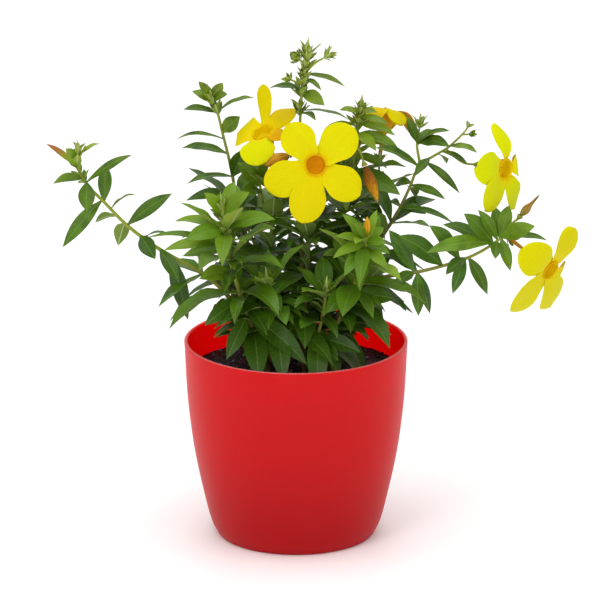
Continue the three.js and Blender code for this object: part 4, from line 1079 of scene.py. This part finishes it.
def add_funnel(shape, mouth, way, right, top, tube, depth):
    """The tube and throat of a flower, open at its mouth."""
    outer = Curve([(0, TUBE_RADIUS, -tube), *((0, radius, height) for radius, height in FUNNEL)])
    outside = [outer.at(share)[1:] for share in np.linspace(0, 1, FUNNEL_ROWS)]
    inner = Curve([(0, radius - FUNNEL_WALL / 2, height) for radius, height in FUNNEL])
    inside = [inner.at(share)[1:] for share in np.linspace(1, 0, FUNNEL_ROWS)]
    inside = [row for row in inside if row[1] > THROAT[0][1]]
    lip = [(FUNNEL[-1][0] - FUNNEL_WALL * 0.1, 0.35), (FUNNEL[-1][0] - FUNNEL_WALL * 0.4, 0.4)]
    outline = [(0.2, -tube), *outside, *lip, *inside, *THROAT]
    angles = np.arange(FUNNEL_SIDES) * 2 * math.pi / FUNNEL_SIDES
    round_way = np.cos(angles)[:, None] * right + np.sin(angles)[:, None] * top
    points, where = [], []
    for i, (radius, height) in enumerate(outline):
        flute = 1 + FLUTES["depth"] * np.cos(angles * 5) * smooth(FLUTES["low"], 0, height)
        points.append(mouth + way * height + round_way * (radius * flute)[:, None])
        upper = 1 if i > len(outside) else -1
        where.append(np.stack([angles, np.full_like(angles, height), np.full_like(angles, upper)], 1))
    faces = ring_faces(len(outline), FUNNEL_SIDES)
    shape.add(points, faces, PETAL, where, (depth, looks.random(), 0))


def flower_piece(flower):
    shape = Shape()
    way = unit(np.array(flower["faces"], float))
    mouth = np.array(flower["mouth"], float)
    right = unit(np.cross(UP, way))
    top = unit(np.cross(way, right))
    depth, leans = BLOOMS[flower["name"]]
    add_funnel(shape, mouth, way, right, top, flower["tube"], depth)
    for row, lean in zip(flower["petals"], leans):
        add_petal(shape, mouth, way, right, top, row, depth, lean)
    return finished(shape.piece(flower["name"] + "_bloom", [petal_material]), flower["name"])


# A furled bud: its rows and sides, how far its five petal edges wind and stand out,
# its radius between them as a share, and its finest point
FURL = dict(rows=26, sides=30, wind=1.6, edge=0.16, low=0.93, point=0.04)


def bud_piece(bud):
    """A furled bud: a pointed spindle with the edges of its petals wound round it."""
    foot, tip = np.array(bud["foot"], float), np.array(bud["tip"], float)
    line = Curve([(0, radius, height) for radius, height in [*BUD_FORMS[bud["form"]], (FURL["point"], 1)]])
    steps = [line.at(share)[1:] for share in np.linspace(0, 1, FURL["rows"])]
    angles = np.arange(FURL["sides"]) * 2 * math.pi / FURL["sides"]
    radii = []
    for radius, height in steps:
        furl = ((angles * 5 / (2 * math.pi) + height * FURL["wind"]) % 1) * FURL["edge"]
        girth = FURL["low"] + furl * smooth(0.02, 0.3, height)
        radii.append(bud["radius"] * max(radius, FURL["point"]) * girth)
    heights = np.array([height for _, height in steps])[:, None]
    points = rings(foot + (tip - foot) * heights, radii, FURL["sides"])
    where = np.zeros(points.shape)
    where[..., 0] = angles * bud["radius"]
    where[..., 1] = heights * np.linalg.norm(tip - foot)
    where[..., 2] = heights
    shape = Shape()
    faces = ring_faces(len(steps), FURL["sides"])
    shape.add(points, faces, 0, where, (0, looks.random(), 0))
    return finished(shape.piece(bud["name"] + "_furled", [bud_materials[bud["name"]]], sharp=70), bud["name"])


# Pot and soil

POT_SIDES = 160
RIM_ROUND = 0.9
HEEL_ROUND = 1.5
# Sharper edges than this many degrees stay sharp
POT_SHARP = 38
SOIL_RINGS = 44
SOIL_SIDES = 132
GRAINS = 520


def outline_radius(height):
    """The pot's outer radius at a height, on a smooth line through its outline."""
    return float(np.interp(height, POT_SMOOTH[:, 1], POT_SMOOTH[:, 0]))


outline_curve = Curve([(0, radius, height) for radius, height in POT_OUTLINE[1:]])
POT_SMOOTH = np.array([outline_curve.at(share)[1:] for share in np.linspace(0, 1, 90)])


def turned(outline, sides):
    """The rings of points of an outline of radius and height pairs, turned about the Z axis."""
    angles = np.arange(sides) * 2 * math.pi / sides
    return [np.stack([radius * np.cos(angles), radius * np.sin(angles), np.full(sides, height)], 1)
            for radius, height in outline]


def pot_outline():
    """The pot's section from the middle of its foot to that of its floor, and where its inside starts."""
    low, high, depth = GROOVE["inner"], GROOVE["outer"], GROOVE["depth"]
    foot = [(0.3, 0), (low - 1, 0), (low - 0.2, 0.3), (low, depth)]
    foot += [(high, depth), (high + 0.8, 0.3), (high + 1.2, 0)]
    rim_foot, turns = POT_HEIGHT - RIM_ROUND, np.linspace(0, math.pi / 2, 6)
    heel = [(POT_OUTLINE[0][0] + HEEL_ROUND * 2 * math.sin(a), HEEL_ROUND - HEEL_ROUND * math.cos(a))
            for a in np.linspace(0, 1.35, 5)]
    side = [tuple(row) for row in POT_SMOOTH[2:] if row[1] < rim_foot]
    top = POT_OUTLINE[-1][0]
    rim = [(top - RIM_ROUND + RIM_ROUND * math.cos(a), rim_foot + RIM_ROUND * math.sin(a)) for a in turns]
    rim += [(top - POT_WALL + RIM_ROUND - RIM_ROUND * math.sin(a), rim_foot + RIM_ROUND * math.cos(a))
            for a in turns]
    heights = np.linspace(rim_foot - 2, 9, 40)
    inside = [(outline_radius(height) - POT_WALL, height) for height in heights]
    floor = [(outline_radius(POT_FLOOR) - POT_WALL - 1.2, POT_FLOOR), (0.3, POT_FLOOR)]
    outer = [*foot, *heel, *side, *rim]
    return [*outer, *inside, *floor], len(outer)


def pot_piece():
    shape = Shape()
    outline, inner_from = pot_outline()
    points = np.concatenate(turned(outline, POT_SIDES))
    inside = (np.arange(len(points)) >= inner_from * POT_SIDES)[:, None] * (1, 0, 0)
    shape.add(points, ring_faces(len(outline), POT_SIDES), 0, points, inside)
    pot = shape.piece("pot_shell", [pot_material], POT_SHARP)
    drills = []
    for i in range(DRAIN["count"]):
        angle = i * 2 * math.pi / DRAIN["count"]
        drill = Shape()
        place = np.array((DRAIN["ring"] * math.cos(angle), DRAIN["ring"] * math.sin(angle), 0))
        add_rod(drill, [place - UP * 5, place + UP * 8], [DRAIN["radius"]] * 2, 28, 0, (0, 0, 0))
        drills.append(drill.piece(f"drill_{i}", [pot_material]))
    for drill in drills:
        cut = pot.modifiers.new(drill.name, "BOOLEAN")
        cut.operation, cut.solver, cut.object = "DIFFERENCE", "EXACT", drill
    bpy.context.view_layer.update()
    mesh = bpy.data.meshes.new_from_object(pot.evaluated_get(bpy.context.evaluated_depsgraph_get()))
    pot.modifiers.clear()
    pot.data = mesh
    mesh.set_sharp_from_angle(angle=math.radians(POT_SHARP))
    for drill in drills:
        bpy.data.objects.remove(drill)
    return finished(pot, "pot")


def soil_height(x, y, edge):
    """The soil's face: broad swells, crumbs, and a low edge against the wall."""
    swell = math.sin(x * 0.11 + 1) * math.cos(y * 0.13) + math.sin((x - y) * 0.21) / 2
    rim = float(smooth(1.0, 0.72, math.hypot(x, y) / edge))
    crumbs = noise.noise(Vector((x, y, 3)) * 0.32) * 1.5 + noise.noise(Vector((x, y, 9)) * 0.9) * 0.9
    return SOIL_TOP + rim * (SOIL_CROWN + SOIL_SWELL * swell) + crumbs * 0.8


def soil_piece():
    """The soil as one closed bed, with grit and crumbs sunk in its face."""
    shape = Shape()
    edge = outline_radius(SOIL_TOP) - POT_WALL - SEAT_GAP
    low = POT_FLOOR + SEAT_GAP
    heights = np.linspace(9, SOIL_TOP - 2, 14)
    side = [(outline_radius(height) - POT_WALL - SEAT_GAP, height) for height in heights]
    rows = turned([(0.3, low), (outline_radius(POT_FLOOR) - POT_WALL - 1.6, low), *side], SOIL_SIDES)
    angles = np.arange(SOIL_SIDES) * 2 * math.pi / SOIL_SIDES
    for share in np.linspace(1, 0.004, SOIL_RINGS):
        x, y = edge * share * np.cos(angles), edge * share * np.sin(angles)
        z = [soil_height(a, b, edge) for a, b in zip(x, y)]
        rows.append(np.stack([x, y, z], 1))
    points = np.array(rows)
    shape.add(points, ring_faces(len(rows), SOIL_SIDES), 0, points * (1, 1, 0), (0, 0, 0))
    for _ in range(GRAINS):
        radius = edge * 0.97 * math.sqrt(looks.random())
        angle = looks.uniform(0, 2 * math.pi)
        size = looks.uniform(0.7, 1.5) + 1.6 * looks.random() ** 5
        add_grain(shape, radius * math.cos(angle), radius * math.sin(angle), edge, size)
    return finished(shape.piece("soil_bed", [soil_material], sharp=60), "soil")


def add_grain(shape, x, y, edge, size):
    """An angular crumb, part sunk in the soil."""
    reach = math.hypot(x, y)
    if reach + size > edge:
        x, y = x * (edge - size) / reach, y * (edge - size) / reach
    centre = np.array((x, y, soil_height(x, y, edge) + size * looks.uniform(-0.2, 0.45)))
    stretch = looks.uniform(0.55, 1.0, 3) * size
    points = GRAIN_POINTS * looks.uniform(0.8, 1.15, (len(GRAIN_POINTS), 1)) * stretch
    turn = looks.uniform(0, 360)
    points = np.array([turned_about(point, UP, turn) for point in points]) + centre
    shape.add(points, GRAIN_FACES, 0, points * (1, 1, 0), (1, looks.random(), 0))


def ball():
    """The points and faces of a coarse ball."""
    mesh = bmesh.new()
    bmesh.ops.create_icosphere(mesh, subdivisions=2, radius=1)
    points = np.array([vertex.co[:] for vertex in mesh.verts])
    faces = [tuple(vertex.index for vertex in face.verts) for face in mesh.faces]
    mesh.free()
    return points, faces


GRAIN_POINTS, GRAIN_FACES = ball()


# Materials

# Where a blade's two faces meet in its where attribute
BACK_TO_FACE = (-0.3, 0.3)


def tint(code):
    """A linear colour from a hex code as seen on a screen."""
    parts = [int(code[i:i + 2], 16) / 255 for i in (0, 2, 4)]
    return (*(part / 12.92 if part <= 0.04045 else ((part + 0.055) / 1.055) ** 2.4 for part in parts), 1)


class Paint:
    """A material of nodes round one Principled shader, with short ways to make them.

    A value is a number, a hex code of a colour or the socket that it comes from.
    """

    def __init__(self, name, **settings):
        self.material = bpy.data.materials.new(name)
        self.material.use_nodes = True
        self.tree = self.material.node_tree
        self.shader = self.tree.nodes["Principled BSDF"]
        self.feed(self.shader, **settings)

    def feed(self, node, **values):
        """Sets or links sockets by their names, which are written with _ for a space."""
        for name, value in values.items():
            self.link(node.inputs[name.replace("_", " ")], value)

    def link(self, socket, value):
        if isinstance(value, bpy.types.NodeSocket):
            self.tree.links.new(value, socket)
        else:
            socket.default_value = tint(value) if isinstance(value, str) else value

    def node(self, kind, *values, **settings):
        node = self.tree.nodes.new("ShaderNode" + kind)
        for name, value in settings.items():
            setattr(node, name, value)
        for socket, value in zip(node.inputs, values):
            self.link(socket, value)
        return node

    def maths(self, operation, *values):
        return self.node("Math", *values, operation=operation).outputs[0]

    def times(self, first, second):
        return self.maths("MULTIPLY", first, second)

    def plus(self, first, second):
        return self.maths("ADD", first, second)

    def between(self, value, low, high, start=0.0, end=1.0):
        """start below low, end above high, and an even curve between."""
        node = self.node("MapRange", value, interpolation_type="SMOOTHSTEP")
        self.feed(node, From_Min=low, From_Max=high, To_Min=start, To_Max=end)
        return node.outputs[0]

    def mixed(self, share, first, second, blend="MIX"):
        node = self.node("Mix", data_type="RGBA", blend_type=blend)
        for place, value in ((0, share), (6, first), (7, second)):
            self.link(node.inputs[place], value)
        return node.outputs[2]

    def layered(self, colour, *layers):
        """A colour with others laid over it, each by its own share."""
        for share, over in layers:
            colour = self.mixed(share, colour, over)
        return colour

    def ramp(self, value, *stops):
        node = self.node("ValToRGB", value)
        row = node.color_ramp.elements
        while len(row) < len(stops):
            row.new(0.5)
        for element, (place, code) in zip(row, stops):
            element.position, element.color = place, tint(code)
        return node.outputs[0]

    def parts(self, source):
        """The three numbers of a vector."""
        return self.node("SeparateXYZ", source).outputs[:]

    def split(self, name):
        """The three numbers of a point's attribute."""
        return self.parts(self.node("Attribute", attribute_name=name).outputs["Vector"])

    def scaled(self, vector, scales):
        return self.node("VectorMath", vector, scales, operation="MULTIPLY").outputs[0]

    def place(self):
        """The point in millimetres."""
        return self.scaled(self.node("TexCoord").outputs["Object"], (1 / MM,) * 3)

    def noise(self, vector, scale, detail=2.0):
        node = self.node("TexNoise")
        self.feed(node, Vector=vector, Scale=scale, Detail=detail)
        return node.outputs[0]

    def streaks(self, x, y, chance, across, along):
        """Noise drawn out along a piece, with its scales across and along it."""
        vector = self.node("CombineXYZ", self.times(x, across), self.times(y, along), chance).outputs[0]
        return self.noise(vector, 1, 3)

    def bumped(self, height, depth):
        """Relief of a depth in millimetres."""
        node = self.node("Bump")
        self.feed(node, Strength=1.0, Distance=depth * MM, Height=height)
        self.feed(self.shader, Normal=node.outputs[0])

    def done(self, colour, roughness):
        self.feed(self.shader, Base_Color=colour, Roughness=roughness)
        return self.material


def make_leaf():
    """Green with a pale rib, slanting veins, painted light high on the plant, painted shade low in it and in
    patches, and a dull pale back.
    """
    paint = Paint("leaf", Specular_IOR_Level=0.25)
    x, y, side = paint.split("where")
    young, chance, red = paint.split("growth")
    place = paint.place()
    height = paint.parts(place)[2]
    spread, fine = paint.noise(place, 0.09, 3), paint.noise(place, 0.9)
    # Veins every few millimetres, which slant outwards from the rib
    apart = paint.maths("ABSOLUTE", x)
    slant = paint.maths("DIVIDE", paint.maths("SUBTRACT", y, paint.times(apart, 0.85)), 4.4)
    vein = paint.between(paint.maths("PINGPONG", slant, 0.5), 0.38, 0.5)
    rib = paint.between(apart, 0.12, 0.6, 1, 0)
    # Old and young green are both painted lighter high on the plant, where more light falls, and all is
    # painted darker low in the bush, where shade falls
    low = paint.ramp(chance, (0, "264604"), (0.5, "325a06"), (1, "44720c"))
    high = paint.ramp(chance, (0, "405c0c"), (0.5, "587210"), (1, "748c1c"))
    # Painted shade: dark patches that lie across neighbouring leaves
    painted_shade_patches = paint.between(spread, 0.35, 0.7)
    old = paint.layered(low, (paint.between(height, 200, 320), high), (painted_shade_patches, "244206"))
    new = paint.ramp(chance, (0, "5a8408"), (1, "88a410"))
    # Painted light: young green turns paler and yellower high on the plant
    new = paint.mixed(paint.between(height, 270, 340), new, "8c9418")
    green = paint.layered(
        old, (young, new), (paint.times(fine, 0.3), "4c741a"),
        # Painted shade: every leaf darkens low in the bush
        (paint.between(height, 130, 215, 0.45, 0), "1c3404"),
        (paint.times(vein, 0.12), "6c8a30"), (paint.times(rib, 0.3), "7c983c"),
    )
    back = paint.layered("627c30", (young, "8a9c34"), (paint.times(rib, 0.6), "bccb8d"))
    flush = paint.times(red, paint.between(y, 8, 26))
    colour = paint.layered(back, (paint.between(side, *BACK_TO_FACE), green), (flush, "a05028"))
    relief = paint.plus(paint.times(vein, -0.5), paint.times(rib, -1.0))
    paint.bumped(paint.plus(relief, paint.times(fine, 0.5)), 0.16)
    gloss = paint.plus(paint.between(side, *BACK_TO_FACE, 0.6, 0.32), paint.times(spread, 0.16))
    return paint.done(colour, gloss)


def make_bark():
    """Green where the wood is young, and brown with pale pores where it is old."""
    paint = Paint("bark", Specular_IOR_Level=0.2)
    x, y, _ = paint.split("where")
    young, chance, _ = paint.split("growth")
    grain = paint.streaks(x, y, chance, 14, 0.45)
    pores = paint.noise(paint.place(), 1.3)
    old = paint.layered("4f4427", (grain, "7b6a42"), (paint.between(pores, 0.62, 0.74), "a0916a"))
    new = paint.mixed(grain, "748420", "959c34")
    paint.bumped(paint.plus(grain, paint.times(pores, 0.5)), 0.15)
    return paint.done(paint.mixed(young, old, new), paint.between(grain, 0.2, 0.8, 0.42, 0.6))


def make_petal():
    """Yellow, lime or orange by petal, partly as painted light and shade, golden round the throat, with an
    amber tube and orange backs.
    """
    paint = Paint("petal", Specular_IOR_Level=0.04, Subsurface_Weight=0.12, Subsurface_Scale=MM)
    x, y, side = paint.split("where")
    depth, chance, lean = paint.split("growth")
    streak = paint.streaks(x, y, chance, 0.9, 0.07)
    soft = paint.noise(paint.place(), 0.12)
    # Partly painted shade: the orange of a petal's lean also stands in for shade on it
    blush_and_painted_shade = paint.times(paint.maths("MAXIMUM", lean, 0), paint.between(soft, 0.2, 0.6, 0.8, 1))
    face = paint.layered(
        "cac200", (streak, "c4b600"), (paint.times(soft, 0.4), "d0cc00"),
        (paint.between(lean, -1, 0, 1, 0), "c6cf00"), (blush_and_painted_shade, "c88400"),
    )
    # The throat's gold runs out along the petal in streaks
    guide = paint.plus(y, paint.times(streak, -3.0))
    throat = paint.ramp(paint.between(guide, -9, 6), (0, "ce8a00"), (0.3, "d29600"), (0.6, "d4aa00"),
                        (1, "ccb800"))
    throat = paint.mixed(depth, "dcc000", throat)
    face = paint.mixed(paint.between(guide, -4, 9), throat, face)
    outer = paint.between(guide, 0, 24)
    back = paint.layered("cc8404", (outer, "ccb800"), (paint.times(blush_and_painted_shade, 0.5), "d48c04"))
    tube = paint.mixed(paint.between(y, -34, -8), "b07a24", "d89810")
    back = paint.mixed(paint.between(y, -3, 3), tube, back)
    paint.bumped(streak, 0.35)
    colour = paint.mixed(paint.between(side, *BACK_TO_FACE), back, face)
    return paint.done(colour, paint.between(soft, 0.3, 0.7, 0.42, 0.55))


def make_bud(name, foot, middle, tip):
    """A furled bud, coloured from its foot to its tip, with painted shade along its furrow streaks."""
    paint = Paint(name, Specular_IOR_Level=0.15)
    x, y, share = paint.split("where")
    _, chance, _ = paint.split("growth")
    streak = paint.streaks(x, y, chance, 1.1, 0.16)
    soft = paint.noise(paint.place(), 0.35)
    place = paint.plus(share, paint.times(paint.maths("SUBTRACT", soft, 0.5), 0.5))
    colour = paint.ramp(place, (0, foot), (0.45, middle), (0.85, tip))
    # Painted shade: the streaks are darkened as shade in furrows
    painted_furrow_shade = paint.mixed(1.0, colour, "d0c4ac", "MULTIPLY")
    colour = paint.mixed(paint.between(streak, 0.35, 0.65), colour, painted_furrow_shade)
    paint.bumped(streak, 0.3)
    return paint.done(colour, paint.between(soft, 0.3, 0.7, 0.4, 0.6))


def make_pot():
    """Satin red plastic with a faint moulded grain, soft flow marks and scuffs at the foot, with painted
    shade towards the foot, a painted highlight along the rim and a purer red painted inside for light.
    """
    paint = Paint("pot_plastic", Specular_IOR_Level=0.1, Subsurface_Weight=0.9,
                  Subsurface_Radius=(1, 0.04, 0.04), Subsurface_Scale=26 * MM)
    place = paint.place()
    height, inside = paint.parts(place)[2], paint.split("growth")[0]
    flow, grain = paint.noise(paint.scaled(place, (1, 1, 0.25)), 0.02), paint.noise(place, 1.6)
    scuff = paint.times(paint.between(grain, 0.6, 0.75), paint.between(height, 0, 6, 0.35, 0))
    red = paint.layered(
        # Painted shade: the red darkens towards the foot
        "ee1014", (flow, "f41518"), (paint.between(height, 0, 130, 1, 0), "ae0e12"),
        # Painted light: the inside is painted a purer, brighter red than the outside
        (paint.between(inside, 0.2, 0.8), "ee0006"),
        # Painted highlight: a pale pink band along the top of the rim; the scuffs at the foot are wear
        (paint.between(height, POT_HEIGHT - 0.7, POT_HEIGHT, 0, 0.5), "f08884"), (scuff, "e0666a"),
    )
    paint.bumped(grain, 0.05)
    return paint.done(red, paint.plus(paint.times(flow, 0.12), paint.between(grain, 0.3, 0.7, 0.32, 0.4)))


def make_soil():
    """Damp near-black soil with brown fibres and blue-grey grit."""
    paint = Paint("soil", Specular_IOR_Level=0.35)
    grain, chance, _ = paint.split("growth")
    place = paint.place()
    coarse, fine = paint.noise(place, 0.35, 4), paint.noise(place, 1.8, 3)
    bed = paint.layered("0b0b10", (coarse, "201e24"), (paint.between(fine, 0.58, 0.7), "383642"))
    grit = paint.ramp(chance, (0, "18151a"), (0.45, "2a2630"), (0.7, "453a36"), (0.86, "5d6074"),
                      (1, "8b8fa6"))
    paint.bumped(paint.plus(coarse, paint.times(fine, 0.5)), 1.4)
    return paint.done(paint.mixed(grain, bed, grit), paint.between(fine, 0.3, 0.7, 0.5, 0.8))


def make_floor():
    paint = Paint("floor")
    cloud = paint.noise(paint.place(), 0.004)
    return paint.done(paint.mixed(cloud, "fafafa", "ffffff"), paint.between(cloud, 0.3, 0.7, 0.6, 0.7))


leaf_material = make_leaf()
bark_material = make_bark()
petal_material = make_petal()
bud_materials = dict(
    bud_amber_left=make_bud("bud_amber", "a88410", "c89020", "b07c08"),
    bud_amber_right=make_bud("bud_golden", "a8a018", "d8a018", "dca81c"),
    bud_wilted=make_bud("bud_wilted", "6a4208", "a86c14", "e0a818"),
    bud_bronze=make_bud("bud_bronze", "80842c", "a87a3c", "7c7434"),
)
pot_material = make_pot()
soil_material = make_soil()
floor_material = make_floor()


# The part

plants = grow_plant()
pot_piece()
soil_piece()
for name in ("pot", "soil", *(row["name"] for row in FLOWERS + BUDS)):
    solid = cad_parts[name].data
    points = np.array([point.co[:] for point in solid.vertices]) / MM
    crowd.claim(points, [tuple(face.vertices) for face in solid.polygons])
shapes = [stem_shape(plant) for plant in plants]
for fill in FILLS:
    for plant, shape in zip(plants, shapes):
        if plant["name"] in fill.get("stems", [plant["name"]]):
            fill_gaps(fill, plant, shape)
for plant, shape in zip(plants, shapes):
    finished(shape.piece(plant["name"] + "_grown", [leaf_material, bark_material]), plant["name"])
for flower in FLOWERS:
    flower_piece(flower)
for bud in BUDS:
    bud_piece(bud)


# Stage

FLOOR_SIZE = 24
WORLD_WHITE = 0.8
LIGHTS = [
    dict(name="key", place=(-1.5, -2.6, 2.6), size=1.4, power=24),
    dict(name="low", place=(0.3, -3.6, 1.0), size=1.5, power=26),
    dict(name="top", place=(0, -0.3, 2.9), size=2.2, power=27),
    dict(name="rear", place=(0, 2.2, 2.4), size=2.0, power=12),
]

bpy.ops.mesh.primitive_plane_add(size=FLOOR_SIZE)
floor = bpy.context.object
floor.name = "floor"
floor.data.materials.append(floor_material)

world = bpy.data.worlds.new("studio")
world.use_nodes = True
world.node_tree.nodes["Background"].inputs["Color"].default_value = (1, 1, 1, 1)
world.node_tree.nodes["Background"].inputs["Strength"].default_value = WORLD_WHITE
bpy.context.scene.world = world

for row in LIGHTS:
    light = bpy.data.lights.new(row["name"], "AREA")
    light.shape, light.size, light.energy = "DISK", row["size"], row["power"]
    lamp = bpy.data.objects.new(row["name"], light)
    lamp.location = row["place"]
    lamp.rotation_euler = (TARGET - lamp.location).to_track_quat("-Z", "Y").to_euler()
    bpy.context.scene.collection.objects.link(lamp)

camera = bpy.data.objects.new("camera", bpy.data.cameras.new("camera"))
camera.location = TARGET + Vector((0, -math.cos(PITCH), math.sin(PITCH))) * DISTANCE
camera.rotation_euler = (math.pi / 2 - PITCH, 0, 0)
camera.data.sensor_width = SENSOR_MM
camera.data.lens = LENS_MM
bpy.context.scene.collection.objects.link(camera)
bpy.context.scene.camera = camera
bpy.context.scene.view_settings.view_transform = "Standard"
